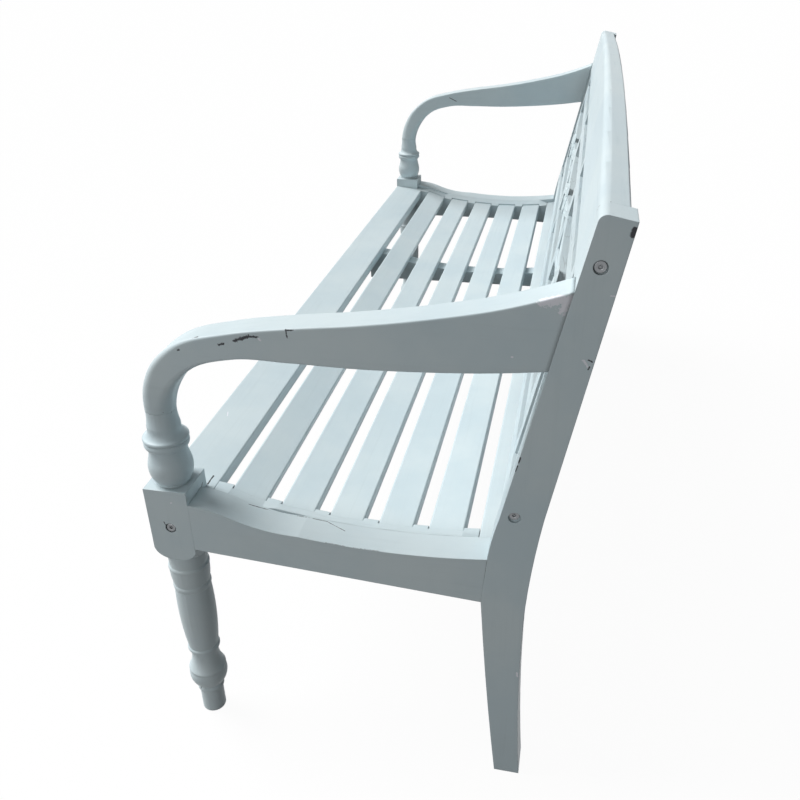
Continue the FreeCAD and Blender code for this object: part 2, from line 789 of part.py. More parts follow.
def make_rear_board():
    """Rear seat board between the rear posts."""
    body = new_body("rear_seat_board")
    front, rear = rear_board_edges()
    half = rail_inner - joint_gap
    tilt = math.degrees(math.atan2(rear[1] - front[1], rear[0] - front[0]))
    sketch = new_sketch(body, "rear_board_section", "YZ_Plane", across_offset(-half.value))
    add_box(sketch, joint_gap, -board_thickness, rear_board_width / cosine(Size(tilt, str(tilt))), 0)
    add_feature(body, "Pad", "rear_board_blank", sketch, half * 2)
    round_edges(body, "rear_board_arris", board_round, lambda edge, middle: along_x(edge) and middle.z > -1)
    body.Placement = seat_frame(0, front[0], front[1], tilt)
    return body


def make_front_rail():
    """Rail under the front board, between the blocks of the front posts."""
    body = new_body("front_seat_rail")
    sketch = new_sketch(body, "front_rail_section", "YZ_Plane", across_offset(-block_inner.value))
    back = front_rail_setback + rail_thickness
    add_outline(sketch, [
        Corner(front_rail_setback, front_rail_bottom),
        Corner(back, front_rail_bottom),
        Corner(back, front_board_top(back) - board_thickness),
        Corner(front_rail_setback, front_board_top(front_rail_setback) - board_thickness),
    ])
    add_feature(body, "Pad", "front_rail_blank", sketch, block_inner * 2)
    drill_rail_ends(body, block_inner, block_centre, front_bolt_height, back)
    body.Placement = seat_frame()
    return body


def drill_rail_ends(body, half, depth, height, back):
    """A bolt hole in each end of a rail, crossed by a hole for the barrel nut from behind."""
    for sign in (1, -1):
        tag = f"{body.Name}_{'right' if sign > 0 else 'left'}"
        bolt = new_sketch(body, f"{tag}_bolt_sketch", "YZ_Plane", across_offset(sign * half.value))
        add_circle(bolt, depth, height, bolt_shank_radius + joint_gap)
        add_feature(body, "Pocket", f"{tag}_bolt", bolt, bolt_reach + 2, sign < 0)
        nut = new_sketch(body, f"{tag}_nut_sketch", "XZ_Plane", across_offset(-as_size(back).value))
        add_circle(nut, as_size(sign) * (half - nut_place), height, nut_radius + joint_gap)
        add_feature(body, "Pocket", f"{tag}_nut", nut, back - depth + nut_length / 2 + joint_gap, True)


def make_rear_rail():
    """Rail under the rear board, between the rear posts."""
    body = new_body("rear_seat_rail")
    sketch = new_sketch(body, "rear_rail_section", "YZ_Plane", across_offset(-rail_inner.value))
    edge = rear_board_edges()[1][0] - 1
    back = rear_rail_front + rail_thickness
    add_outline(sketch, [
        Corner(rear_rail_front, rear_rail_bottom),
        Corner(back, rear_rail_bottom),
        Corner(back, rear_board_under(edge)),
        Corner(edge, rear_board_under(edge)),
        Corner(rear_rail_front, rear_board_under(rear_rail_front.value)),
    ])
    add_feature(body, "Pad", "rear_rail_blank", sketch, rail_inner * 2)
    body.Placement = seat_frame()
    return body


def make_cross_bearer():
    """Bearer under the slats near the middle, from the front rail to the rear rail."""
    body = new_body("cross_bearer")
    side = cross_bearer_offset + cross_bearer_width / 2
    sketch = new_sketch(body, "cross_bearer_profile", "YZ_Plane", across_offset(-side.value))
    start = front_rail_setback + rail_thickness
    path = [
        Corner(start, cross_bearer_bottom),
        Corner(rear_rail_front, cross_bearer_bottom),
        Corner(rear_rail_front, rear_board_under(rear_rail_front.value)),
        Corner(rear_board_edges()[0][0], rear_board_under(rear_board_edges()[0][0])),
    ]
    for order in reversed(range(slat_count)):
        under_front, under_rear = under_edges(order)
        path.append(Corner(*under_rear))
        path.append(Corner(*under_front))
    path += [
        Corner(front_board_width, front_board_top(front_board_width) - board_thickness),
        Corner(start, front_board_top(start) - board_thickness),
    ]
    add_outline(sketch, path)
    add_feature(body, "Pad", "cross_bearer_blank", sketch, cross_bearer_width)
    body.Placement = seat_frame()
    return body


def arm_stations():
    """Top and underside points of the arm, from the turned support back to the rear post."""
    axis = front_blank / 2
    joint = arm_joint_height
    shelf = arm_shelf_depth
    rise = arm_shelf_top - joint
    under = arm_shelf_bottom - joint
    top_run = rake_depth(arm_rear_top) - shelf
    under_run = rake_depth(arm_rear_bottom) - shelf
    top_climb = arm_rear_top - arm_shelf_top
    under_climb = arm_rear_bottom - arm_shelf_bottom
    return [
        ((axis - arm_joint_radius, joint), (axis + arm_joint_radius, joint)),
        ((shelf * 0.065, joint + rise * 0.248), (shelf * 0.197, joint + under * 0.295)),
        ((shelf * 0.133, joint + rise * 0.497), (shelf * 0.243, joint + under * 0.542)),
        ((shelf * 0.267, joint + rise * 0.72), (shelf * 0.325, joint + under * 0.789)),
        ((shelf * 0.5, joint + rise * 0.855), (shelf * 0.507, joint + under * 0.986)),
        ((shelf * 0.75, joint + rise * 0.94), (shelf * 0.747, joint + under * 1.005)),
        ((shelf, arm_shelf_top), (shelf, arm_shelf_bottom)),
        ((shelf + top_run * 0.375, arm_shelf_top + top_climb * 0.267),
         (shelf + under_run * 0.364, arm_shelf_bottom + under_climb * 0.179)),
        ((shelf + top_run * 0.688, arm_shelf_top + top_climb * 0.561),
         (shelf + under_run * 0.682, arm_shelf_bottom + under_climb * 0.488)),
        ((rake_depth(arm_rear_top), arm_rear_top), (rake_depth(arm_rear_bottom), arm_rear_bottom)),
    ]


def make_arm(side):
    """Sweeping arm: round where it sits on its support, flat and deep where it meets the post."""
    body = new_body(f"arm_{side}")
    sign = sides[side]
    stations = arm_stations()
    sketches = []
    for order, (top, under) in enumerate(stations):
        share = max(0.0, 1 - order / 4)
        rise = FreeCAD.Vector(0, top[0].value - under[0].value, top[1].value - under[1].value)
        width = arm_thickness + (arm_joint_radius * 2 - arm_thickness) * share
        radius = arm_edge_round + (arm_joint_radius - 0.15 - arm_edge_round) * (share ** 1.3)
        from_outer = arm_thickness / 2 + (front_blank / 2 - arm_thickness / 2) * (share ** 2)
        middle = sign * (half_length.value - from_outer.value)
        place = FreeCAD.Placement(
            FreeCAD.Vector(middle, (top[0].value + under[0].value) / 2, (top[1].value + under[1].value) / 2),
            FreeCAD.Rotation(FreeCAD.Vector(1, 0, 0), math.degrees(math.atan2(rise.z, rise.y))),
        )
        sketch = new_sketch(body, f"station_{side}_{order}", "XY_Plane", place)
        add_rounded_box(sketch, width, as_size(rise.Length), radius)
        sketches.append(sketch)
    loft = body.newObject("PartDesign::AdditiveLoft", f"sweep_{side}")
    loft.Profile = sketches[0]
    loft.Sections = sketches[1:]
    body.Tip = loft
    socket = new_sketch(body, f"socket_sketch_{side}", "XY_Plane", across_offset(arm_joint_height.value))
    add_circle(socket, as_size(sign) * (half_length - front_blank / 2), front_blank / 2,
               tenon_radius + joint_gap)
    add_feature(body, "Pocket", f"socket_{side}", socket, tenon_length + joint_gap, True)
    body.Placement = seat_frame()
    return body


def add_rounded_box(sketch, width, depth, radius):
    """A rectangle about the sketch's origin with round corners."""
    across = width / 2
    up = depth / 2
    bow = radius * corner_bow
    path = []
    for right, top in ((1, -1), (1, 1), (-1, 1), (-1, -1)):
        beside = Corner(across * right, (up - radius) * top)
        above = Corner((across - radius) * right, up * top)
        middle = Through((across - bow) * right, (up - bow) * top)
        path += [above, middle, beside] if right != top else [beside, middle, above]
    add_outline(sketch, path)


def crest_edge(across):
    """Height of the curved lower edge of the crest rail, along the rake."""
    half = rail_inner.value
    rise = crest_bottom_rise.value
    radius = (half ** 2 + rise ** 2) / (2 * rise)
    return crest_bottom.value + rise - radius + math.sqrt(radius ** 2 - across ** 2)


def make_crest_rail():
    """Crest rail with a crowned top and a slightly arched lower edge."""
    body = new_body("crest_rail")
    sketch = new_sketch(body, "crest_outline", "XZ_Plane")
    add_outline(sketch, [
        Corner(-rail_inner, crest_bottom),
        Through(0, crest_bottom + crest_bottom_rise),
        Corner(rail_inner, crest_bottom),
        Corner(rail_inner, back_length),
        Through(0, back_length + crest_crown),
        Corner(-rail_inner, back_length),
    ])
    add_feature(body, "Pad", "crest_blank", sketch, crest_thickness, True)
    round_edges(body, "crest_front_round", crest_round,
                lambda edge, middle: middle.y < 0.1 and middle.z > back_length.value + 1)
    round_edges(body, "crest_back_round", crest_back_round,
                lambda edge, middle: middle.y > crest_thickness.value - 0.1
                and middle.z > back_length.value + 1)
    cut_mortises(body, "crest", 1)
    drill_rail_ends(body, rail_inner, back_bolt_depth, upper_bolt_place, crest_thickness)
    body.Placement = back_frame()
    return body


def make_back_rail():
    """Bottom rail of the back, just above the seat."""
    body = new_body("back_bottom_rail")
    sketch = new_sketch(body, "back_rail_outline", "XZ_Plane")
    add_box(sketch, -rail_inner, back_rail_bottom, rail_inner, back_rail_top)
    add_feature(body, "Pad", "back_rail_blank", sketch, crest_thickness, True)
    cut_mortises(body, "back_rail", -1)
    drill_rail_ends(body, rail_inner, back_bolt_depth, lower_bolt_place, crest_thickness)
    body.Placement = back_frame()
    return body


def cut_mortises(body, name, direction):
    """A shallow mortise for each muntin, in the lower edge (1) or the upper edge (-1)."""
    sketch = new_sketch(body, f"{name}_mortise_sketch", "XZ_Plane",
                        across_offset(joint_gap.value - tenon_front.value))
    half = muntin_width / 2 - stub_shoulder + joint_gap
    for middle in muntin_middles:
        if direction > 0:
            edge = as_size(crest_edge(middle.value))
            add_box(sketch, middle - half, edge - 2, middle + half, edge + stub_tenon + joint_gap)
        else:
            add_box(sketch, middle - half, back_rail_top - stub_tenon - joint_gap, middle + half,
                    back_rail_top + 2)
    add_feature(body, "Pocket", f"{name}_mortises", sketch, stub_tenon_thickness + joint_gap * 2)


def make_muntin(order):
    """Upright of the back, tenoned into both rails and mortised for the fret panels."""
    body = new_body(f"back_muntin_{order + 1}")
    middle = muntin_middles[order].value
    half = muntin_width / 2
    sketch = new_sketch(body, f"muntin_outline_{order}", "XZ_Plane", across_offset(-fret_setback.value))
    add_outline(sketch, [
        Corner(-half, back_rail_top),
        Corner(half, back_rail_top),
        Corner(half, crest_edge(middle + half.value)),
        Corner(-half, crest_edge(middle - half.value)),
    ])
    add_feature(body, "Pad", f"muntin_blank_{order}", sketch, fret_thickness, True)
    tenon = new_sketch(body, f"muntin_tenon_sketch_{order}", "XZ_Plane", across_offset(-tenon_front.value))
    narrow = half - stub_shoulder
    add_box(tenon, -narrow, back_rail_top - stub_tenon, narrow,
            as_size(min(crest_edge(middle - half.value), crest_edge(middle + half.value))) + stub_tenon)
    add_feature(body, "Pad", f"muntin_tenon_{order}", tenon, stub_tenon_thickness, True)
    slots = new_sketch(body, f"muntin_slots_{order}", "XZ_Plane",
                       across_offset(joint_gap.value - tenon_front.value))
    depth = stub_tenon + joint_gap
    for low, high in tongue_levels():
        if order > 0:
            add_box(slots, -half - 1, low - joint_gap, depth - half, high + joint_gap)
        if order < panel_count:
            add_box(slots, half - depth, low - joint_gap, half + 1, high + joint_gap)
    add_feature(body, "Pocket", f"muntin_slot_{order}", slots, stub_tenon_thickness + joint_gap * 2)
    body.Placement = back_frame(middle)
    return body


def panel_span(order):
    """Middle and half width of a fret panel between its two uprights."""
    left = muntin_middles[order]
    right = muntin_middles[order + 1]
    return (left + right) / 2, (right - left - muntin_width) / 2


def tongue_levels():
    """Lower and upper ends of the two tongues on each side of a fret panel."""
    half = fret_height / 2
    inset = fret_bar / 4
    return (
        (fret_middle - half + inset, fret_middle - half + fret_bar - inset),
        (fret_middle + half - fret_bar + inset, fret_middle + half - inset),
    )


def make_fret_panel(order):
    """One pierced board: two bars, a cross of curved arms, and a tongue into each muntin."""
    body = new_body(f"fret_panel_{order + 1}")
    sketch = new_sketch(body, f"fret_outline_{order}", "XZ_Plane", across_offset(-fret_setback.value))
    middle, half = panel_span(order)
    tall = fret_height / 2
    add_box(sketch, -half, fret_middle - tall, half, fret_middle + tall)
    side = half - fret_margin
    bar = tall - fret_bar
    for up in (1, -1):
        add_outline(sketch, [
            Corner(-side, fret_middle + fret_arm_height * up),
            Through(0, fret_middle + fret_waist * up),
            Corner(side, fret_middle + fret_arm_height * up),
            Corner(side, fret_middle + bar * up),
            Corner(-side, fret_middle + bar * up),
        ])
    eye = fret_arm_height - fret_arm_width
    bow = fret_arm_height - fret_waist
    tip = math.sqrt((fret_arm_width.value - fret_waist.value) / bow.value)
    bend = (tip + 1) / 2
    bend_up = fret_waist + bow * bend ** 2 - fret_arm_width
    for out in (1, -1):
        add_outline(sketch, [
            Corner(side * out, fret_middle - eye),
            Corner(side * out, fret_middle + eye),
            Through(side * (out * bend), fret_middle + bend_up),
            Corner(side * (out * tip), fret_middle),
            Through(side * (out * bend), fret_middle - bend_up),
        ])
    add_feature(body, "Pad", f"fret_board_{order}", sketch, fret_thickness, True)
    tongue = new_sketch(body, f"fret_tongue_sketch_{order}", "XZ_Plane", across_offset(-tenon_front.value))
    for low, high in tongue_levels():
        add_box(tongue, -half - stub_tenon + joint_gap, low, half + stub_tenon - joint_gap, high)
    add_feature(body, "Pad", f"fret_tongue_{order}", tongue, stub_tenon_thickness, True)
    body.Placement = back_frame(middle.value)
    return body


def make_rosette(order):
    """Carved boss on the crossing of a fret panel: a disc, eight round petals and a button."""
    body = new_body(f"rosette_{order + 1}")
    disc = new_sketch(body, f"rosette_disc_sketch_{order}", "XZ_Plane")
    add_circle(disc, 0, 0, rosette_radius)
    add_feature(body, "Pad", f"rosette_disc_{order}", disc, rosette_height / 2)
    button = new_sketch(body, f"rosette_button_sketch_{order}", "XZ_Plane")
    add_circle(button, 0, 0, rosette_button)
    add_feature(body, "Pad", f"rosette_button_{order}", button, rosette_height)
    petal = new_sketch(body, f"rosette_petal_sketch_{order}", "XZ_Plane")
    add_circle(petal, 0, (rosette_radius + rosette_button) / 2, petal_radius)
    pad = add_feature(body, "Pad", f"rosette_petal_{order}", petal, rosette_height * 0.8)
    pattern = body.newObject("PartDesign::PolarPattern", f"rosette_petals_{order}")
    pattern.Originals = [pad]
    pattern.Axis = (petal, ["N_Axis"])
    pattern.Angle = 360
    pattern.Occurrences = petal_count
    body.Tip = pattern
    place = back_frame(panel_span(order)[0].value)
    shift = FreeCAD.Placement(FreeCAD.Vector(0, fret_setback.value, fret_middle.value), FreeCAD.Rotation())
    body.Placement = place.multiply(shift)
    return body


def cylinder(name, radius, height, place):
    item = doc.addObject("Part::Cylinder", name)
    bind(item, "Radius", radius)
    bind(item, "Height", height)
    item.Placement = place
    return item


def boolean(kind, name, base, tool):
    item = doc.addObject(f"Part::{kind}", name)
    item.Base = base
    item.Tool = tool
    return item


def group(label, items):
    """Identical fasteners as separate solids under one name."""
    item = doc.addObject("Part::Compound", label)
    item.Label = label
    item.Links = items
    pieces.append(item)
    return item


def bolt_joints():
    """Every bolted joint: side, joint face along X, depth and height, and the post's thickness."""
    joints = []
    for sign in (1, -1):
        joints.append((sign, block_inner, block_centre, front_bolt_height, front_blank, 0))
        for place in (upper_bolt_place, lower_bolt_place):
            depth, height = bolt_point(place)
            joints.append((sign, rail_inner, depth, height, rear_post_thickness, -rake_angle.value))
    return joints


def make_bolts():
    """Socket-head furniture bolts through the posts into the ends of the rails."""
    bolts = []
    for order, (sign, face, depth, height, grip, tilt) in enumerate(bolt_joints()):
        outer = sign * (face.value + grip.value)
        inward = FreeCAD.Rotation(FreeCAD.Vector(0, 0, 1), FreeCAD.Vector(-sign, 0, 0))
        start = FreeCAD.Vector(outer, depth.value - middle_shift.value, height.value)
        seat = start + FreeCAD.Vector(-sign * bolt_recess.value, 0, 0)
        head_start = seat + FreeCAD.Vector(sign * bolt_head_height.value, 0, 0)
        head = cylinder(f"bolt_head_{order}", bolt_head_radius, bolt_head_height,
                        FreeCAD.Placement(head_start, inward))
        shank = cylinder(f"bolt_shank_{order}", bolt_shank_radius, grip - bolt_recess + bolt_reach,
                         FreeCAD.Placement(seat, inward))
        blank = boolean("Fuse", f"bolt_blank_{order}", head, shank)
        socket = doc.addObject("Part::Prism", f"bolt_socket_{order}")
        socket.Polygon = 6
        bind(socket, "Circumradius", bolt_socket_radius)
        bind(socket, "Height", bolt_head_height)
        socket.Placement = FreeCAD.Placement(head_start, inward)
        bolts.append(boolean("Cut", f"bolt_{order}", blank, socket))
    return group("frame_bolts", bolts)


def make_nuts():
    """Barrel nuts that lie across the rails and take the ends of the bolts."""
    nuts = []
    for order, (sign, face, depth, height, grip, tilt) in enumerate(bolt_joints()):
        turn = FreeCAD.Rotation(FreeCAD.Vector(1, 0, 0), tilt)
        middle = FreeCAD.Vector(sign * (face.value - nut_place.value), depth.value - middle_shift.value,
                                height.value)
        lying = turn.multiply(FreeCAD.Rotation(FreeCAD.Vector(1, 0, 0), -90))
        barrel_start = middle - lying.multVec(FreeCAD.Vector(0, 0, nut_length.value / 2))
        barrel = cylinder(f"nut_barrel_{order}", nut_radius, nut_length,
                          FreeCAD.Placement(barrel_start, lying))
        along = FreeCAD.Rotation(FreeCAD.Vector(0, 0, 1), FreeCAD.Vector(1, 0, 0))
        bore_start = middle - FreeCAD.Vector(nut_radius.value * 1.5, 0, 0)
        bore = cylinder(f"nut_bore_{order}", bolt_shank_radius + joint_gap / 2, nut_radius * 3,
                        FreeCAD.Placement(bore_start, along))
        nuts.append(boolean("Cut", f"nut_{order}", barrel, bore))
    return group("barrel_nuts", nuts)


def make_dowels():
    """Dowels in the joints of the side rails with the front blocks and the rear posts."""
    dowels = []
    back = FreeCAD.Rotation(FreeCAD.Vector(1, 0, 0), -90)
    for sign in (1, -1):
        for seat, heights in ((front_blank, front_dowel_heights), (rear_seat_depth, rear_dowel_heights)):
            for height in heights:
                start = FreeCAD.Vector(sign * rail_middle.value,
                                       seat.value - dowel_reach.value - middle_shift.value, height.value)
                dowels.append(cylinder(f"dowel_{len(dowels)}", dowel_radius, dowel_reach * 2,
                                       FreeCAD.Placement(start, back)))
    return group("rail_dowels", dowels)


# Places that several pieces share
rail_middle = half_length - rear_post_thickness / 2
rear_seat_depth = (rail_seat_bottom_depth + rail_seat_top_depth) / 2
rear_rail_front = rail_seat_bottom_depth + rear_rail_setback
slat_pitch = (rear_rail_front - rear_board_lap + slat_width / 2 - first_slat_depth) / slat_count
slat_half = rail_inner - bearer_thickness + slat_housing - joint_gap
front_dowel_heights = [side_rail_front_bottom + dowel_inset, side_rail_front_height - dowel_inset]
rear_dowel_heights = [side_rail_rear_bottom + dowel_inset, side_rail_rear_height - dowel_inset]
tenon_front = fret_setback + (fret_thickness - stub_tenon_thickness) / 2
fret_height = crest_bottom + crest_bottom_rise / 2 - back_rail_top - fret_slot * 2
bolt_reach = nut_place + nut_radius + 2

for side in sides:
    make_front_post(side)
    make_rear_post(side)
    make_arm(side)
    make_side_rail(side)
    make_slat_bearer(side)
make_front_rail()
make_rear_rail()
make_cross_bearer()
make_front_board()
for order in range(slat_count):
    make_slat(order)
make_rear_board()
make_crest_rail()
make_back_rail()
for order in range(len(muntin_middles)):
    make_muntin(order)
for order in range(panel_count):
    make_fret_panel(order)
    make_rosette(order)
make_bolts()
make_nuts()
make_dowels()

doc.recompute()
for item in doc.Objects:
    if "Invalid" in item.State or "Error" in item.State:
        raise RuntimeError(f"{item.Label} could not be built")
for piece in pieces:
    if piece.Shape.isNull() or not piece.Shape.isValid() or not piece.Shape.Solids:
        raise RuntimeError(f"{piece.Label} has no valid solid")
os.makedirs("parts", exist_ok=True)
for piece in pieces:
    piece.Shape.exportStep(f"parts/{piece.Label}.step")
    print(piece.Label, len(piece.Shape.Solids), round(piece.Shape.Volume / 1000, 1), "cm3")
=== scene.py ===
"""Deacons bench with a fretwork back, in worn pale grey-blue paint."""

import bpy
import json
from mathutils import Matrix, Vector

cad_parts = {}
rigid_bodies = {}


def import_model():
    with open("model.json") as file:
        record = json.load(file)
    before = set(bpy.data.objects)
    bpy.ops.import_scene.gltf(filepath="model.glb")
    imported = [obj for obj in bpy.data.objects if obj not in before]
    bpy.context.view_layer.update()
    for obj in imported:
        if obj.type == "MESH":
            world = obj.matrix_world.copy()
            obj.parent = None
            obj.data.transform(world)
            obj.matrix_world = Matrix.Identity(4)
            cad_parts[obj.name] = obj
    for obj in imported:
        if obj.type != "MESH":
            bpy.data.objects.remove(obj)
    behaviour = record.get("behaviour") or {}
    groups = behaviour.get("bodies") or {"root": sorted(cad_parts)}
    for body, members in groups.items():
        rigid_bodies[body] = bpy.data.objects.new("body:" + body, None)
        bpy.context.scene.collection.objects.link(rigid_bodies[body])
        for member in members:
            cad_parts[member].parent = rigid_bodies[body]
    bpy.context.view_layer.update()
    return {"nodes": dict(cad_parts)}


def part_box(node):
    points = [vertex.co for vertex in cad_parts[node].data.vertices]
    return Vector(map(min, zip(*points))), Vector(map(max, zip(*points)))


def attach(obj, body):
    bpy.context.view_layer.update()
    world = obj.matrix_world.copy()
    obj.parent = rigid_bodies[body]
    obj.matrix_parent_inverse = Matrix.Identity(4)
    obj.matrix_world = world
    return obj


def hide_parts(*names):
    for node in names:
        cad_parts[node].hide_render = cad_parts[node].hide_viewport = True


bl_info = {
    "name": "Deacons bench",
    "version": (1, 0, 0),
    "blender": (4, 5, 0),
    "location": "View3D > Sidebar > Bench",
    "description": "Dresses the bench in worn paint and adds its carving, bolts and stage",
    "category": "Object",
}

import json
import math

import bpy
import numpy as np
from bpy.props import FloatProperty, FloatVectorProperty, IntProperty, PointerProperty
from mathutils import Matrix, Vector

for leftover in list(bpy.data.objects):
    bpy.data.objects.remove(leftover)

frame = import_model()

# Places on the bench, in metres from the bottom centre of its box
HALF_LENGTH = 0.85
MIDDLE_DEPTH = 0.29674

# Lean of the back, and the depth and height at which it starts
RAKE = math.radians(11.8)
RAKE_START = (0.4773 - MIDDLE_DEPTH, 0.4635)
UP_THE_RAKE = np.array([0.0, math.sin(RAKE), math.cos(RAKE)])
OUT_OF_THE_RAKE = np.array([0.0, -math.cos(RAKE), math.sin(RAKE)])

# Fret panels: middles and half widths along the bench, middle up the rake and setback from it,
# and how far the middle line of a crossed arm is from the panel's middle at the waist and the end
PANEL_PLACES = (-0.46875, 0.0, 0.46875)
PANEL_HALF_WIDTHS = (0.22125, 0.1875, 0.22125)
PANEL_MIDDLE = 0.1625
PANEL_SETBACK = 0.002
FRET_WAIST_LINE = 0.0025
FRET_END_LINE = 0.0295

# Raised veins on the crossed arms, which start under the rosettes' petals
VEIN_HALF_WIDTH = 0.0024
VEIN_RISE = 0.0016
VEIN_END = 0.010
VEIN_START_SHARE = 0.9

# Arms: thickness, the round joint on the turned support and the distance of its axis from the
# bench's end, the arris towards the post, and the number of stations over which the round fades
ARM_THICKNESS = 0.044
ARM_JOINT_RADIUS = 0.0203
ARM_JOINT_AXIS = 0.0311
ARM_ARRIS = 0.0022
ARM_ROUND_STATIONS = 4
ARM_STATION_STEPS = 14

# Stations of an arm from its turned support back to the post: depth and height of its top and its
# underside, measured from the front face of the front posts
ARM_TOP = [
    (0.0108, 0.5570), (0.0195, 0.5940), (0.0400, 0.6311), (0.0800, 0.6643), (0.1500, 0.6844),
    (0.2250, 0.6966), (0.3000, 0.7060), (0.3900, 0.7211), (0.4650, 0.7377), (0.5398, 0.7625),
]
ARM_UNDERSIDE = [
    (0.0514, 0.5570), (0.0590, 0.5850), (0.0730, 0.6085), (0.0975, 0.6320), (0.1520, 0.6507),
    (0.2240, 0.6525), (0.3000, 0.6520), (0.3800, 0.6549), (0.4500, 0.6599), (0.5201, 0.6682),
]

# Depth and height of each bolt, and how far its shank goes into its nut
FRONT_BOLT = (-0.26564, 0.3836)
UPPER_BOLT = (0.26546, 0.7894)
LOWER_BOLT = (0.19816, 0.4721)
BOLT_IN_NUT = 0.004

# Fineness of each pattern, in waves to the metre
CLOUD_SCALE = 5.5
PATCH_SCALE = 17.0
BRUSH_SCALE = 150.0
FIBRE_SCALE = 700.0
DUST_SCALE = 1300.0
BROKEN_EDGE_SCALE = 45.0
BROKEN_GRIME_AND_SHADE_SCALE = 60.0
CRACK_SCALE = 130.0
CRACK_PATCH_SCALE = 16.0
RAGGED_SCALE = 320.0
STEEL_SPOT_SCALE = 900.0
STEEL_GRAIN_SCALE = 2500.0
WOOD_GRAIN_SCALE = 400.0

# Wear of the paint and the painted shade in its corners: the share of each colour that shows
# through, and the height of each layer
DUST_SHARE = 0.18
WORN_EDGE_SHARE = 0.4
CORNER_GRIME_AND_SHADE_SHARE = 0.6
FIBRE_HEIGHT = 0.35
DUST_HEIGHT = 0.3
CRACK_HEIGHT = -1.0
MARK_HEIGHT = -1.5
CLOUD_ROUGHNESS = 0.10
STREAK_ROUGHNESS = 0.12

# Lamps and floor of the stage
KEY_SPREAD = math.radians(38)
KEY_TURN = (math.radians(40), 0.0, math.radians(-14))
FILL_SIZE = 2.4
FILL_PLACE = (3.6, -1.5, 1.3)
FILL_AIM = (HALF_LENGTH, 0.0, 0.5)
FLOOR_REACH = 60.0
FLOOR_GLOW = 0.96
FLOOR_BOUNCE = (0.10, 0.10, 0.10, 1)
WHITE = (1, 1, 1, 1)

# Grain directions, as the stretch of a pattern along the timber
ALONG_X = (0.04, 1.0, 1.0)
ALONG_Y = (1.0, 0.04, 1.0)
ALONG_Z = (1.0, 1.0, 0.04)

# Sockets of a mix node that mixes colours
MIX_FACTOR = 0
MIX_FIRST = 6
MIX_SECOND = 7
MIX_RESULT = 2


class PaintSettings(bpy.types.PropertyGroup):
    """Colours and wear of the paint."""

    paint: FloatVectorProperty(
        name="Paint", description="Pale grey-blue paint", subtype="COLOR",
        default=(0.545, 0.650, 0.690), min=0, max=1,
    )
    faded: FloatVectorProperty(
        name="Faded paint", description="Paint bleached by weather", subtype="COLOR",
        default=(0.610, 0.700, 0.725), min=0, max=1,
    )
    soiled: FloatVectorProperty(
        name="Soiled paint", description="Paint dulled by dirt along the grain", subtype="COLOR",
        default=(0.400, 0.470, 0.480), min=0, max=1,
    )
    # Colour of corners and joints, partly grime and partly painted shade; the dry cracks take it
    # too
    grime_and_shade: FloatVectorProperty(
        name="Grime", description="Dirt in corners and joints", subtype="COLOR",
        default=(0.060, 0.070, 0.070), min=0, max=1,
    )
    # Also the colour of the painted shade in the bolts' sockets and round their heads
    bare_and_shade: FloatVectorProperty(
        name="Chips", description="Dark undercoat and wood under a chip", subtype="COLOR",
        default=(0.012, 0.014, 0.020), min=0, max=1,
    )
    scuffed: FloatVectorProperty(
        name="Scuffs", description="Scraped pale paint", subtype="COLOR",
        default=(0.840, 0.860, 0.920), min=0, max=1,
    )
    roughness: FloatProperty(
        name="Roughness", description="Roughness of clean paint", subtype="FACTOR",
        default=0.42, min=0, max=1,
    )
    arris: FloatProperty(
        name="Worn arris", description="Width of the softened edges", subtype="DISTANCE",
        default=0.0014, min=0, max=0.02,
    )


class RosetteSettings(bpy.types.PropertyGroup):
    """Sizes of the carved rosettes."""

    radius: FloatProperty(
        name="Radius", description="Radius over the petals", subtype="DISTANCE",
        default=0.030, min=0.005, max=0.1,
    )
    rise: FloatProperty(
        name="Rise", description="Height of the button over the panel", subtype="DISTANCE",
        default=0.006, min=0.001, max=0.02,
    )
    button: FloatProperty(
        name="Button", description="Button's share of the radius", subtype="FACTOR",
        default=0.3, min=0.1, max=0.6,
    )
    petals: IntProperty(
        name="Petals", description="Number of petals", default=8, min=3, max=16,
    )


class BoltSettings(bpy.types.PropertyGroup):
    """Sizes and metal of the furniture bolts."""

    head: FloatProperty(
        name="Head radius", description="Radius of a bolt's head", subtype="DISTANCE",
        default=0.0064, min=0.001, max=0.02,
    )
    depth: FloatProperty(
        name="Head height", description="Height of a bolt's head", subtype="DISTANCE",
        default=0.003, min=0.001, max=0.01,
    )
    shank: FloatProperty(
        name="Shank radius", description="Radius of a bolt's shank", subtype="DISTANCE",
        default=0.003, min=0.001, max=0.01,
    )
    socket: FloatProperty(
        name="Socket radius", description="Radius over the corners of the socket",
        subtype="DISTANCE", default=0.0027, min=0.001, max=0.01,
    )
    steel: FloatVectorProperty(
        name="Steel", description="Colour of the dull steel", subtype="COLOR",
        default=(0.20, 0.21, 0.22), min=0, max=1,
    )


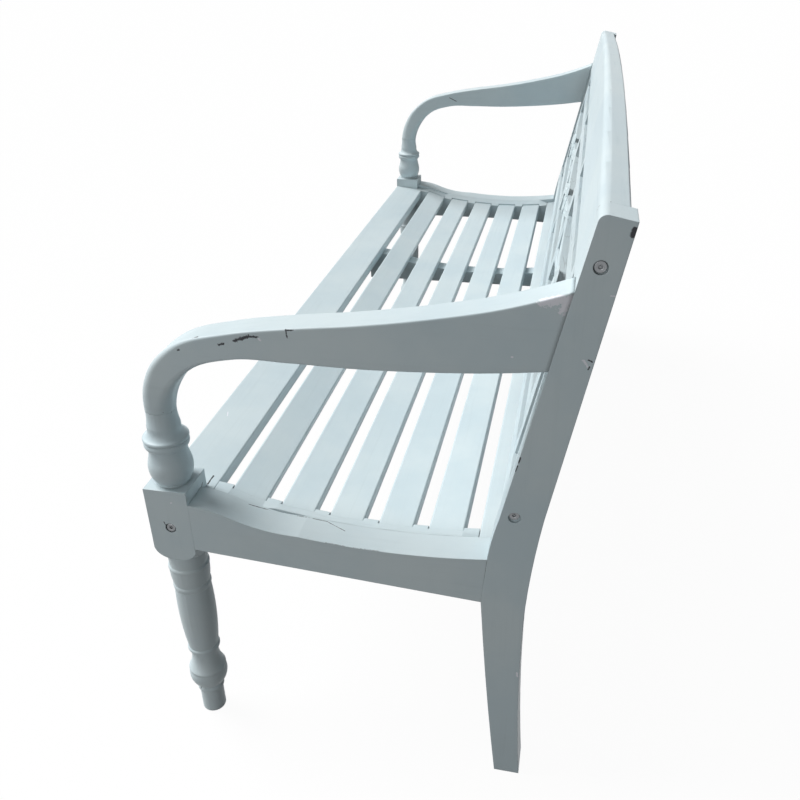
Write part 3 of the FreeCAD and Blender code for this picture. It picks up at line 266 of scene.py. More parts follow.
class StageSettings(bpy.types.PropertyGroup):
    """Camera, lamps and floor."""

    lens: FloatProperty(
        name="Lens", description="Focal length in millimetres", default=37.136, min=10, max=200,
    )
    place: FloatVectorProperty(
        name="Camera place", description="Where the camera stands", subtype="TRANSLATION",
        default=(1.66077, 0.23651, 1.07953),
    )
    heading: FloatProperty(
        name="Heading", description="Turn of the camera about the upright", subtype="ANGLE",
        default=math.radians(103.817),
    )
    tilt: FloatProperty(
        name="Tilt", description="Tilt of the camera up from looking straight down",
        subtype="ANGLE", default=math.radians(59.421),
    )
    roll: FloatProperty(
        name="Roll", description="Turn of the camera about its line of sight", subtype="ANGLE",
        default=math.radians(-1.630),
    )
    shift: FloatVectorProperty(
        name="Shift", description="Shift of the picture across and up", size=2,
        default=(0.02306, 0.02753),
    )
    key: FloatProperty(
        name="Key light", description="Strength of the soft light from the front",
        default=3.6, min=0,
    )
    fill: FloatProperty(
        name="Fill light", description="Power of the soft lamp beyond the near end",
        default=29, min=0,
    )
    sky: FloatProperty(
        name="Sky", description="Strength of the light from all round", default=0.11, min=0,
    )
    floor: FloatVectorProperty(
        name="Floor", description="Colour of the floor", subtype="COLOR",
        default=(0.90, 0.90, 0.90), min=0, max=1,
    )


# Shader nodes


def place_node(tree, kind, settings=None, inputs=None):
    """Adds one node, with its settings and its inputs, each a value or a socket to link from."""
    made = tree.nodes.new(kind)
    for name, value in (settings or {}).items():
        setattr(made, name, value)
    for name, value in (inputs or {}).items():
        if isinstance(value, bpy.types.NodeSocket):
            tree.links.new(value, made.inputs[name])
        else:
            made.inputs[name].default_value = value
    return made


def work_out(tree, operation, *values):
    """Result of one sum on numbers."""
    inputs = dict(enumerate(values))
    return place_node(tree, "ShaderNodeMath", {"operation": operation}, inputs).outputs[0]


def work_out_vector(tree, operation, *values):
    """Result of one sum on vectors: a number for a dot product or a length, otherwise a vector."""
    inputs = dict(enumerate(values))
    made = place_node(tree, "ShaderNodeVectorMath", {"operation": operation}, inputs)
    return made.outputs["Value" if operation in ("DOT_PRODUCT", "LENGTH") else "Vector"]


def fade(tree, value, start, end, low=0.0, high=1.0):
    """The value eased from low at start to high at end."""
    eased = {"interpolation_type": "SMOOTHSTEP"}
    inputs = {"Value": value, "From Min": start, "From Max": end, "To Min": low, "To Max": high}
    return place_node(tree, "ShaderNodeMapRange", eased, inputs).outputs["Result"]


def blend_colours(tree, factor, first, second):
    """First colour where the factor is 0 and second where it is 1."""
    inputs = {MIX_FACTOR: factor, MIX_FIRST: first, MIX_SECOND: second}
    return place_node(tree, "ShaderNodeMix", {"data_type": "RGBA"}, inputs).outputs[MIX_RESULT]


def noise(tree, vector, scale, detail=3.0, roughness=0.5, distortion=0.0):
    """Value of a noise pattern."""
    inputs = {"Vector": vector, "Scale": scale, "Detail": detail, "Roughness": roughness,
              "Distortion": distortion}
    return place_node(tree, "ShaderNodeTexNoise", None, inputs).outputs["Fac"]


def open_group(name, inputs, outputs):
    """A new node group with its sockets, what it is given and what it gives out."""
    group = bpy.data.node_groups.new(name, "ShaderNodeTree")
    face = group.interface
    for label, kind, default in inputs:
        socket = face.new_socket(label, in_out="INPUT", socket_type=f"NodeSocket{kind}")
        if default is not None:
            socket.default_value = default
    for label, kind in outputs:
        face.new_socket(label, in_out="OUTPUT", socket_type=f"NodeSocket{kind}")
    given = group.nodes.new("NodeGroupInput").outputs
    result = group.nodes.new("NodeGroupOutput").inputs
    return group, given, result


def weathered_paint_group():
    """Brushed paint: cloudy fading, dirt and brush marks along the grain, and fine dust."""
    group, given, result = open_group(
        "Weathered paint",
        [("Vector", "Vector", None), ("Grain", "Vector", (1, 1, 1)), ("Paint", "Color", None),
         ("Faded", "Color", None), ("Soiled", "Color", None), ("Dirt", "Float", 0.3),
         ("Roughness", "Float", 0.4)],
        [("Color", "Color"), ("Roughness", "Float"), ("Height", "Float")],
    )
    place = given["Vector"]
    clouds = fade(group, noise(group, place, CLOUD_SCALE, 4.0, 0.6), 0.35, 0.68)
    patches = noise(group, place, PATCH_SCALE, 5.0, 0.62, 0.4)
    patches = fade(group, patches, 0.5, 0.8)
    along = work_out_vector(group, "MULTIPLY", place, given["Grain"])
    brush = noise(group, along, BRUSH_SCALE, 5.0, 0.65)
    fibres = noise(group, along, FIBRE_SCALE, 3.0, 0.6)
    dust = fade(group, noise(group, place, DUST_SCALE, 2.0, 0.5), 0.62, 0.78)
    streaks = fade(group, brush, 0.5, 0.74)
    faded = blend_colours(group, clouds, given["Paint"], given["Faded"])
    soil = work_out(group, "MULTIPLY", work_out(group, "ADD", streaks, patches), given["Dirt"])
    soiled = blend_colours(group, soil, faded, given["Soiled"])
    specks = work_out(group, "MULTIPLY", dust, DUST_SHARE)
    speckled = blend_colours(group, specks, soiled, given["Soiled"])
    group.links.new(speckled, result["Color"])
    dull = work_out(group, "MULTIPLY_ADD", clouds, CLOUD_ROUGHNESS, given["Roughness"])
    dull = work_out(group, "MULTIPLY_ADD", streaks, STREAK_ROUGHNESS, dull)
    group.links.new(dull, result["Roughness"])
    ridges = work_out(group, "MULTIPLY_ADD", fibres, FIBRE_HEIGHT, brush)
    ridges = work_out(group, "MULTIPLY_ADD", dust, DUST_HEIGHT, ridges)
    group.links.new(ridges, result["Height"])
    return group


def worn_arris_group():
    """Softened edges: the normal rounded over each arris, and a broken mask along it."""
    group, given, result = open_group(
        "Worn arris",
        [("Vector", "Vector", None), ("Width", "Float", 0.002)],
        [("Mask", "Float"), ("Normal", "Vector")],
    )
    rounded = place_node(
        group, "ShaderNodeBevel", {"samples": 6}, {"Radius": given["Width"]}
    ).outputs["Normal"]
    plain = place_node(group, "ShaderNodeNewGeometry").outputs["Normal"]
    same_way = work_out_vector(group, "DOT_PRODUCT", rounded, plain)
    turned = work_out(group, "SUBTRACT", 1.0, same_way)
    edge = fade(group, turned, 0.01, 0.14)
    broken = fade(group, noise(group, given["Vector"], BROKEN_EDGE_SCALE, 5.0, 0.7), 0.38, 0.62)
    group.links.new(work_out(group, "MULTIPLY", edge, broken), result["Mask"])
    group.links.new(rounded, result["Normal"])
    return group


def grime_and_shade_group():
    """Darkening in corners and joints where little sky is seen, partly dirt and partly painted
    shade, broken up by noise.
    """
    group, given, result = open_group(
        "Corner grime and shade",
        [("Vector", "Vector", None), ("Reach", "Float", 0.01)],
        [("Mask", "Float")],
    )
    open_sky = place_node(
        group, "ShaderNodeAmbientOcclusion", {"samples": 8}, {"Distance": given["Reach"]}
    ).outputs["AO"]
    corner = fade(group, open_sky, 0.62, 0.20)
    broken = noise(group, given["Vector"], BROKEN_GRIME_AND_SHADE_SCALE, 4.0, 0.6)
    broken = fade(group, broken, 0.30, 0.66, 0.35, 1.0)
    group.links.new(work_out(group, "MULTIPLY", corner, broken), result["Mask"])
    return group


def dry_cracks_group():
    """Dry cracks along the grain: the thin gaps between long cells, in patches."""
    group, given, result = open_group(
        "Dry cracks",
        [("Vector", "Vector", None), ("Grain", "Vector", (1, 1, 1))],
        [("Mask", "Float")],
    )
    along = work_out_vector(group, "MULTIPLY", given["Vector"], given["Grain"])
    gaps = place_node(
        group, "ShaderNodeTexVoronoi", {"feature": "DISTANCE_TO_EDGE"},
        {"Vector": along, "Scale": CRACK_SCALE},
    ).outputs["Distance"]
    crack = fade(group, gaps, 0.07, 0.015)
    patches = fade(group, noise(group, given["Vector"], CRACK_PATCH_SCALE, 3.0, 0.6), 0.46, 0.60)
    group.links.new(work_out(group, "MULTIPLY", crack, patches), result["Mask"])
    return group


def mark_group():
    """One mark along a line from start to end: its width, with a ragged outline."""
    group, given, result = open_group(
        "Mark",
        [("Vector", "Vector", None), ("Start", "Vector", None), ("End", "Vector", None),
         ("Width", "Float", 0.002), ("Ragged", "Float", 0.002)],
        [("Mask", "Float")],
    )
    reach = work_out_vector(group, "SUBTRACT", given["Vector"], given["Start"])
    line = work_out_vector(group, "SUBTRACT", given["End"], given["Start"])
    share = work_out(
        group, "DIVIDE",
        work_out_vector(group, "DOT_PRODUCT", reach, line),
        work_out_vector(group, "DOT_PRODUCT", line, line),
    )
    share = place_node(group, "ShaderNodeClamp", None, {"Value": share}).outputs[0]
    foot = place_node(
        group, "ShaderNodeVectorMath", {"operation": "SCALE"}, {"Vector": line, "Scale": share}
    ).outputs["Vector"]
    distance = work_out_vector(group, "LENGTH", work_out_vector(group, "SUBTRACT", reach, foot))
    rough = noise(group, given["Vector"], RAGGED_SCALE, 5.0, 0.7)
    rough = work_out(group, "SUBTRACT", rough, 0.5)
    ragged = work_out(group, "MULTIPLY_ADD", rough, given["Ragged"], distance)
    core = work_out(group, "MULTIPLY", given["Width"], 0.6)
    group.links.new(fade(group, ragged, given["Width"], core), result["Mask"])
    return group


class Mark:
    """A chip, scuff or crack: its kind, its line on the bench, its width and how ragged it is."""

    def __init__(self, kind, start, end, width, ragged):
        self.kind = kind
        self.start = start
        self.end = end
        self.width = width
        self.ragged = ragged


# Chips, scuffs and cracks that the bench shows
ARM_MARKS = [
    Mark("chip", (0.850, -0.136, 0.677), (0.850, -0.118, 0.684), 0.0022, 0.010),
    Mark("chip", (0.850, -0.118, 0.684), (0.850, -0.107, 0.684), 0.0014, 0.006),
    Mark("chip", (0.850, -0.157, 0.670), (0.850, -0.150, 0.672), 0.0016, 0.008),
    Mark("chip", (0.847, -0.190, 0.673), (0.846, -0.184, 0.676), 0.0014, 0.006),
    Mark("chip", (0.849, -0.211, 0.658), (0.849, -0.209, 0.659), 0.0014, 0.004),
    Mark("chip", (0.850, -0.072, 0.696), (0.850, -0.071, 0.686), 0.0010, 0.004),
    Mark("chip", (0.850, -0.072, 0.695), (0.850, -0.063, 0.696), 0.0009, 0.003),
    Mark("crack", (0.841, -0.2514, 0.588), (0.836, -0.2533, 0.560), 0.0004, 0.001),
    Mark("scuff", (0.850, 0.212, 0.749), (0.850, 0.238, 0.753), 0.0065, 0.022),
    Mark("scuff", (0.850, 0.236, 0.750), (0.850, 0.233, 0.740), 0.0045, 0.018),
    Mark("scuff", (0.850, 0.1835, 0.6835), (0.850, 0.1845, 0.6835), 0.0013, 0.001),
    Mark("scuff", (0.850, -0.106, 0.682), (0.850, -0.104, 0.680), 0.0016, 0.004),
]
REAR_POST_MARKS = [
    Mark("chip", (0.850, 0.2935, 0.8290), (0.850, 0.2925, 0.8235), 0.0036, 0.003),
    Mark("scuff", (0.850, 0.2590, 0.6860), (0.850, 0.2640, 0.6790), 0.0014, 0.005),
    Mark("chip", (0.850, 0.2640, 0.6870), (0.850, 0.2680, 0.6850), 0.0010, 0.003),
    Mark("chip", (0.850, 0.2660, 0.6790), (0.850, 0.2650, 0.6760), 0.0010, 0.003),
    Mark("scuff", (0.850, 0.2170, 0.208), (0.850, 0.2180, 0.202), 0.0018, 0.005),
    Mark("chip", (0.850, 0.2006, 0.5560), (0.850, 0.1992, 0.5490), 0.0012, 0.003),
    Mark("chip", (0.850, 0.1975, 0.5440), (0.850, 0.1960, 0.5370), 0.0014, 0.003),
    Mark("scuff", (0.850, 0.2790, 0.7600), (0.850, 0.2850, 0.7605), 0.0010, 0.003),
    Mark("crack", (0.850, 0.1680, 0.3960), (0.850, 0.1640, 0.3480), 0.0008, 0.001),
]
FRONT_POST_MARKS = [
    Mark("scuff", (0.850, -0.2585, 0.4270), (0.850, -0.2575, 0.4276), 0.0014, 0.001),
    Mark("chip", (0.850, -0.2742, 0.3930), (0.850, -0.2725, 0.3880), 0.0008, 0.002),
    Mark("scuff", (0.850, -0.2600, 0.3860), (0.850, -0.2590, 0.3890), 0.0012, 0.003),
    Mark("chip", (0.8364, -0.2751, 0.0540), (0.8364, -0.2745, 0.0520), 0.0014, 0.002),
    Mark("crack", (0.8383, -0.2714, 0.5570), (0.8265, -0.2468, 0.5570), 0.0008, 0.001),
    Mark("chip", (0.7989, -0.2345, 0.4292), (0.8035, -0.2345, 0.4240), 0.0010, 0.002),
]
SIDE_RAIL_MARKS = [
    Mark("crack", (0.8085, -0.1644, 0.4087), (0.8070, -0.1452, 0.4034), 0.0007, 0.0015),
    Mark("crack", (0.8070, -0.1452, 0.4034), (0.8062, -0.1217, 0.4000), 0.0007, 0.0015),
    Mark("crack", (0.8062, -0.1217, 0.4000), (0.8061, -0.0895, 0.3965), 0.0006, 0.0015),
    Mark("crack", (0.8061, -0.0895, 0.3965), (0.8063, -0.0540, 0.3936), 0.0006, 0.0015),
    Mark("crack", (0.8063, -0.0540, 0.3936), (0.8192, -0.0252, 0.3915), 0.0005, 0.0015),
    Mark("crack", (0.8495, -0.0440, 0.3925), (0.8490, 0.0300, 0.3895), 0.0004, 0.0012),
    Mark("scuff", (0.8480, 0.0900, 0.3880), (0.8480, 0.1000, 0.3885), 0.0010, 0.003),
]
SEAT_MARKS = [
    Mark("chip", (0.7653, -0.2338, 0.4177), (0.7860, -0.2338, 0.4177), 0.0014, 0.003),
    Mark("scuff", (0.5960, -0.2797, 0.4227), (0.6080, -0.2760, 0.4225), 0.0009, 0.002),
]
CREST_MARKS = [
    Mark("crack", (0.7974, 0.2573, 0.8309), (0.8025, 0.2595, 0.8375), 0.0006, 0.001),
    Mark("crack", (0.8025, 0.2595, 0.8375), (0.8028, 0.2699, 0.8419), 0.0007, 0.001),
]
FAR_ARM_MARKS = [
    Mark("chip", (-0.8060, -0.1440, 0.6745), (-0.8060, -0.1240, 0.6650), 0.0010, 0.003),
]


def group_node(tree, name, inputs):
    """One of the groups above, placed in a material with its own values."""
    return place_node(tree, "ShaderNodeGroup", {"node_tree": bpy.data.node_groups[name]}, inputs)


def open_material(name):
    """A new material, its node tree and its shader."""
    material = bpy.data.materials.new(name)
    material.use_nodes = True
    tree = material.node_tree
    return material, tree, tree.nodes["Principled BSDF"]


def bench_place(tree):
    """Each point's place on the bench, which the patterns follow."""
    return place_node(tree, "ShaderNodeTexCoord").outputs["Object"]


def roughen(tree, shader, strength, distance, height, normal=None):
    """Feeds the shader's normal from a bump of this height."""
    inputs = {"Strength": strength, "Distance": distance, "Height": height}
    if normal is not None:
        inputs["Normal"] = normal
    bump = place_node(tree, "ShaderNodeBump", None, inputs)
    tree.links.new(bump.outputs["Normal"], shader.inputs["Normal"])


def painted(name, grain, marks=(), dirt=0.09, cracks=0.0, corner_reach=0.012):
    """A material of weathered paint over wood, with its worn edges, corner grime and painted
    shade, and marks.
    """
    paint = bpy.context.scene.bench_paint
    material, tree, shader = open_material(name)
    place = bench_place(tree)
    skin = group_node(tree, "Weathered paint", {
        "Vector": place, "Grain": grain, "Paint": (*paint.paint, 1), "Faded": (*paint.faded, 1),
        "Soiled": (*paint.soiled, 1), "Dirt": dirt, "Roughness": paint.roughness,
    })
    arris = group_node(tree, "Worn arris", {"Vector": place, "Width": paint.arris})
    grime_and_shade = group_node(tree, "Corner grime and shade", {"Vector": place, "Reach": corner_reach})
    worn = work_out(tree, "MULTIPLY", arris.outputs["Mask"], WORN_EDGE_SHARE)
    colour = blend_colours(tree, worn, skin.outputs["Color"], (*paint.soiled, 1))
    # Painted shade together with grime: corners and joints are darkened where little sky is seen
    corner = work_out(tree, "MULTIPLY", grime_and_shade.outputs["Mask"], CORNER_GRIME_AND_SHADE_SHARE)
    colour = blend_colours(tree, corner, colour, (*paint.grime_and_shade, 1))
    height = skin.outputs["Height"]
    if cracks > 0:
        gaps = group_node(tree, "Dry cracks", {"Vector": place, "Grain": grain}).outputs["Mask"]
        dark = work_out(tree, "MULTIPLY", gaps, cracks)
        colour = blend_colours(tree, dark, colour, (*paint.grime_and_shade, 1))
        height = work_out(tree, "MULTIPLY_ADD", gaps, CRACK_HEIGHT, height)
    below = {"chip": paint.bare_and_shade, "crack": paint.bare_and_shade, "scuff": paint.scuffed}
    for mark in marks:
        mask = group_node(tree, "Mark", {
            "Vector": place, "Start": mark.start, "End": mark.end,
            "Width": mark.width, "Ragged": mark.ragged,
        }).outputs["Mask"]
        colour = blend_colours(tree, mask, colour, (*below[mark.kind], 1))
        height = work_out(tree, "MULTIPLY_ADD", mask, MARK_HEIGHT, height)
    tree.links.new(colour, shader.inputs["Base Color"])
    tree.links.new(skin.outputs["Roughness"], shader.inputs["Roughness"])
    roughen(tree, shader, 0.13, 0.0005, height, arris.outputs["Normal"])
    shader.inputs["Specular IOR Level"].default_value = 0.4
    return material


def dull_steel():
    """Zinc-grey steel, faintly brushed and spotted, with painted shade in its socket and round its
    head.
    """
    material, tree, shader = open_material("dull_steel")
    place = bench_place(tree)
    steel = (*bpy.context.scene.bench_bolts.steel, 1)
    stain = (0.10, 0.09, 0.08, 1)
    spots = fade(tree, noise(tree, place, STEEL_SPOT_SCALE, 4.0, 0.6), 0.5, 0.75)
    spotted = blend_colours(tree, work_out(tree, "MULTIPLY", spots, 0.5), steel, stain)
    # Painted shade: the socket and the ring round each head are darkened to the chips' dark colour
    # where little sky is seen
    deep = group_node(tree, "Corner grime and shade", {"Vector": place, "Reach": 0.007}).outputs["Mask"]
    recess_shade = (*bpy.context.scene.bench_paint.bare_and_shade, 1)
    tree.links.new(blend_colours(tree, deep, spotted, recess_shade), shader.inputs["Base Color"])
    tree.links.new(work_out(tree, "MULTIPLY_ADD", spots, 0.3, 0.32), shader.inputs["Roughness"])
    roughen(tree, shader, 0.2, 0.0002, noise(tree, place, STEEL_GRAIN_SCALE, 2.0))
    shader.inputs["Metallic"].default_value = 1.0
    return material


def bare_wood():
    """Pale unpainted hardwood of the dowels, with its grain along X."""
    material, tree, shader = open_material("bare_wood")
    place = bench_place(tree)
    along = work_out_vector(tree, "MULTIPLY", place, ALONG_X)
    pale, dark = (0.56, 0.38, 0.22, 1), (0.36, 0.22, 0.12, 1)
    grain = fade(tree, noise(tree, along, WOOD_GRAIN_SCALE, 4.0, 0.6), 0.35, 0.7)
    tree.links.new(blend_colours(tree, grain, pale, dark), shader.inputs["Base Color"])
    roughen(tree, shader, 0.3, 0.0003, grain)
    shader.inputs["Roughness"].default_value = 0.6
    return material


def dress(material, *nodes):
    """Gives carried-over nodes their material."""
    for name in nodes:
        for slot in frame["nodes"][name].material_slots:
            slot.material = material


# Meshes


def grid_faces(rows, columns):
    """Faces of a grid of points that closes on itself along its columns."""
    row = np.arange(rows - 1)[:, None] * columns
    column = np.arange(columns)[None, :]
    after = (column + 1) % columns
    corners = (row + column, row + after, row + columns + after, row + columns + column)
    return np.stack([corner.ravel() for corner in corners], axis=1)


def add_surface(name, points, faces, material, smooth=True):
    """Puts worked-out points and faces into a mesh of its own, with its material."""
    mesh = bpy.data.meshes.new(name)
    mesh.from_pydata(points.reshape(-1, 3).tolist(), [], faces)
    mesh.polygons.foreach_set("use_smooth", np.full(len(mesh.polygons), smooth))
    mesh.materials.append(material)
    mesh.update()
    piece = bpy.data.objects.new(name, mesh)
    bpy.context.scene.collection.objects.link(piece)
    return piece


def capped_grid(rings):
    """Faces of rings of points, with the last ring capped."""
    rows, columns = rings.shape[:2]
    faces = grid_faces(rows, columns).tolist()
    faces.append([(rows - 1) * columns + place for place in range(columns)])
    return faces


def closed_grid(rings):
    """Faces of rings of points, with the first and last ring capped."""
    return capped_grid(rings) + [list(range(rings.shape[1]))[::-1]]


def smooth_line(stations, steps):
    """Points along a smooth line through the stations.

    Between two stations it is the cubic a (1 - u)^2 (1 + 2 u) + b u^2 (3 - 2 u) + d u (1 - u)^2
    - e u^2 (1 - u), where d and e are the slopes at its ends, each the mean of the slopes before
    and after the station weighted by the length on the other side.
    """
    places = np.array(stations)
    runs = np.diff(places, axis=0)
    lengths = np.linalg.norm(runs, axis=1)[:, None]
    slopes = runs / lengths
    inner = (slopes[1:] * lengths[:-1] + slopes[:-1] * lengths[1:]) / (lengths[1:] + lengths[:-1])
    ends = np.vstack([2 * slopes[0] - inner[0], inner, 2 * slopes[-1] - inner[-1]])
    u = np.linspace(0, 1, steps, endpoint=False)[None, :, None]
    line = (
        places[:-1, None] * (1 - u) ** 2 * (1 + 2 * u) + places[1:, None] * u ** 2 * (3 - 2 * u)
        + ends[:-1, None] * lengths[:, None] * u * (1 - u) ** 2
        - ends[1:, None] * lengths[:, None] * u ** 2 * (1 - u)
    )
    return np.vstack([line.reshape(-1, 2), places[-1]])


def arm_points(side):
    """Rings of one arm, from the joint on its turned support back to the rear post.

    Each ring is a rectangle with round corners that stands across the arm between its top line and
    its underside, nearly a circle at the support and sharp-edged towards the post.
    """
    top = smooth_line(ARM_TOP, ARM_STATION_STEPS)
    under = smooth_line(ARM_UNDERSIDE, ARM_STATION_STEPS)
    round_rings = ARM_STATION_STEPS * ARM_ROUND_STATIONS
    share = np.clip(1 - np.arange(len(top)) / round_rings, 0, 1)[:, None]
    half_width = (ARM_THICKNESS + (ARM_JOINT_RADIUS * 2 - ARM_THICKNESS) * share) / 2
    corner = ARM_ARRIS + (ARM_JOINT_RADIUS * 0.99 - ARM_ARRIS) * share ** 1.3
    inset = ARM_THICKNESS / 2 + (ARM_JOINT_AXIS - ARM_THICKNESS / 2) * share ** 2
    rise = top - under
    half_depth = np.linalg.norm(rise, axis=1)[:, None] / 2
    upwards = rise / (half_depth * 2)
    turn = np.linspace(0, math.pi / 2, 9)
    # Points along a flat side, from one corner's end at 1 to the next corner's at -1
    along = 1 - 2 * np.array([[0.04, 0.5, 0.96]])
    across, up = [], []
    for quarter, (right, above) in enumerate(((1, 1), (-1, 1), (-1, -1), (1, -1))):
        angle = turn[None, :] + quarter * math.pi / 2
        across.append(right * (half_width - corner) + corner * np.cos(angle))
        up.append(above * (half_depth - corner) + corner * np.sin(angle))
        if quarter % 2 == 0:
            across.append(right * (half_width - corner) * along)
            up.append(above * half_depth * np.ones_like(along))
        else:
            across.append(right * half_width * np.ones_like(along))
            up.append(above * (half_depth - corner) * along)
    across, up = np.hstack(across), np.hstack(up)
    middle = (top + under) / 2
    return np.stack([
        side * (HALF_LENGTH - inset - across),
        middle[:, :1] - MIDDLE_DEPTH + up * upwards[:, :1],
        middle[:, 1:] + up * upwards[:, 1:],
    ], axis=-1)[:, ::side]


def rosette_points(across, settings):
    """Rings of a carved rosette, from its back edge over the petals to its button.

    Out along the radius, the rise is a half wave over the petals times the root of a wave round
    the centre, less a vein down each petal, then a groove, then the quarter circle of the button.
    """
    rings, spokes = 44, 160
    # Shares of the radius, then shares of the rise
    scallop, groove, vein_width = 0.10, 0.05, 0.16
    foot, crown, vein_depth, button_foot = 0.12, 0.62, 0.14, 0.15
    turn = np.linspace(0, 2 * math.pi, spokes, endpoint=False)[None, :]
    out = np.linspace(1.0, 0.02, rings)[:, None]
    petal = np.abs(np.cos(turn * settings.petals / 2))
    edge = settings.radius * (1 - scallop + scallop * petal ** 0.5)
    span = (out - settings.button - groove) / (1 - settings.button - groove)
    span = np.clip(span, 0, 1)
    leaf = np.sin(math.pi * span ** 0.8) ** 0.7 * (0.25 + 0.75 * petal ** 0.6)
    vein = np.exp(-((np.sin(turn * settings.petals / 2) / vein_width) ** 2))
    vein = vein * np.sin(math.pi * span)
    petals = foot + crown * leaf - vein_depth * vein
    button = np.sqrt(np.clip(1 - (out / settings.button) ** 2, 0, 1))
    button = button_foot + (1 - button_foot) * button
    rise = settings.rise * np.where(out < settings.button, button, petals)
    reach = np.vstack([edge, edge * out])
    rise = np.vstack([np.zeros((1, spokes)), rise])
    return on_the_panel(across + reach * np.cos(turn), reach * np.sin(turn), rise)


def on_the_panel(across, up, out):
    """Points from places across and up a fret panel and out of its front face."""
    start = np.array([0.0, RAKE_START[0], RAKE_START[1]])
    face = start + UP_THE_RAKE * PANEL_MIDDLE - OUT_OF_THE_RAKE * PANEL_SETBACK
    sideways = np.array([1.0, 0.0, 0.0])
    return (face + across[..., None] * sideways + up[..., None] * UP_THE_RAKE
            + out[..., None] * OUT_OF_THE_RAKE)


def vein_points(middle, half, clear, side, upwards):
    """Rings of one raised vein along an arm of a fret panel, from the rosette to the arm's end.

    The middle line of the arm rises with the square of the place across. Each ring is a half-sunk
    ellipse whose size follows the root of a half wave, so that both ends run out to a point.
    """
    share = np.linspace(0, 1, 64)[:, None]
    turn = np.linspace(0, 2 * math.pi, 16, endpoint=False)[None, :]
    along = clear + (half - clear - VEIN_END) * share
    rise = FRET_WAIST_LINE + (FRET_END_LINE - FRET_WAIST_LINE) * (along / half) ** 2
    swell = 0.04 + 0.96 * np.sqrt(np.sin(math.pi * share))
    across = middle + side * along * np.ones_like(turn)
    up = upwards * (rise + VEIN_HALF_WIDTH * swell * np.cos(turn))
    out = VEIN_RISE * swell * np.sin(turn) * side * upwards
    return on_the_panel(across, up, out)


def bolt_points(side, depth, height, settings, length):
    """Rings of one bolt, from the bottom of its socket over the head and down the shank.

    Each ring is a circle, and in the socket it is a circle divided by the hexagon's polar form.
    """
    spokes, lip = 48, 0.0006
    turn = np.linspace(0, 2 * math.pi, spokes, endpoint=False)
    sixth = math.pi / 6
    hexagon = math.cos(sixth) / np.cos((turn + sixth) % (2 * sixth) - sixth)
    head, deep, shank, socket = settings.head, settings.depth, settings.shank, settings.socket
    pin, bottom = socket * 0.3, deep * 0.85
    # Radius, depth under the timber's face, and 1 where the ring is six-sided
    profile = [
        (pin * 0.1, deep * 0.45, 0), (pin, deep * 0.5, 0), (pin, bottom, 0), (socket, bottom, 1),
        (socket, lip * 2, 1), (socket + lip, lip * 1.4, 0), (head - lip * 2, lip * 1.2, 0),
        (head - lip, lip, 0), (head, lip * 1.6, 0), (head, deep, 0), (shank, deep, 0),
        (shank, length, 0),
    ]
    radius, sunk, six_sided = np.array(profile).T[:, :, None]
    around = radius * (six_sided * hexagon[None, :] + 1 - six_sided)
    turned = turn[None, :] * side
    return np.stack([
        side * (HALF_LENGTH - sunk) * np.ones_like(around),
        depth + around * np.cos(turned),
        height + around * np.sin(turned),
    ], axis=-1)


def join_rings(all_points):
    """Points and faces of several capped tubes in one mesh."""
    points, faces, count = [], [], 0
    for rings in all_points:
        faces += [[corner + count for corner in face] for face in closed_grid(rings)]
        points.append(rings.reshape(-1, 3))
        count += rings.shape[0] * rings.shape[1]
    return np.vstack(points), faces


def floor_points(reach):
    """Rings of a flat disc: the radius shrinks evenly and the height is just under nought."""
    rings, spokes, height = 24, 96, -0.0004
    turn = np.linspace(0, 2 * math.pi, spokes, endpoint=False)[None, :]
    radius = np.linspace(reach, 0.01, rings)[:, None]
    flat = np.full((rings, spokes), height)
    return np.stack([radius * np.cos(turn), radius * np.sin(turn), flat], axis=-1)


# Operators


class BENCH_OT_posts(bpy.types.Operator):
    """Paints the front and rear posts"""

    bl_idname = "bench.posts"
    bl_label = "Paint posts"

    def execute(self, context):
        dress(painted("front_post_paint", ALONG_Z, FRONT_POST_MARKS),
              "front_post_right", "front_post_left")
        dress(painted("rear_post_paint", ALONG_Z, REAR_POST_MARKS),
              "rear_post_right", "rear_post_left")
        return {"FINISHED"}


class BENCH_OT_arms(bpy.types.Operator):
    """Shapes and paints the two sweeping arms"""

    bl_idname = "bench.arms"
    bl_label = "Shape arms"

    def execute(self, context):
        for name, side, marks in (("right", 1, ARM_MARKS), ("left", -1, FAR_ARM_MARKS)):
            points = arm_points(side)
            paint = painted(f"{name}_arm_paint", ALONG_Y, marks)
            piece = add_surface(f"sweeping_arm_{name}", points, closed_grid(points), paint)
            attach(piece, "root")
            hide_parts(f"arm_{name}")
        return {"FINISHED"}


class BENCH_OT_seat(bpy.types.Operator):
    """Paints the seat boards, slats and the rails and bearers under them"""

    bl_idname = "bench.seat"
    bl_label = "Paint seat"

    def execute(self, context):
        boards = [f"seat_slat_{number}" for number in range(1, 6)]
        # A wide corner reach, which paints shade along the edges of the boards and in the gaps
        # between them
        dress(painted("seat_board_paint", ALONG_X, SEAT_MARKS, corner_reach=0.03),
              "front_seat_board", "rear_seat_board", *boards)
        dress(painted("side_rail_paint", ALONG_Y, SIDE_RAIL_MARKS),
              "seat_side_rail_right", "seat_side_rail_left")
        dress(painted("bearer_paint", ALONG_Y, dirt=0.2),
              "slat_bearer_right", "slat_bearer_left", "cross_bearer")
        dress(painted("seat_rail_paint", ALONG_X, dirt=0.2),
              "front_seat_rail", "rear_seat_rail")
        return {"FINISHED"}


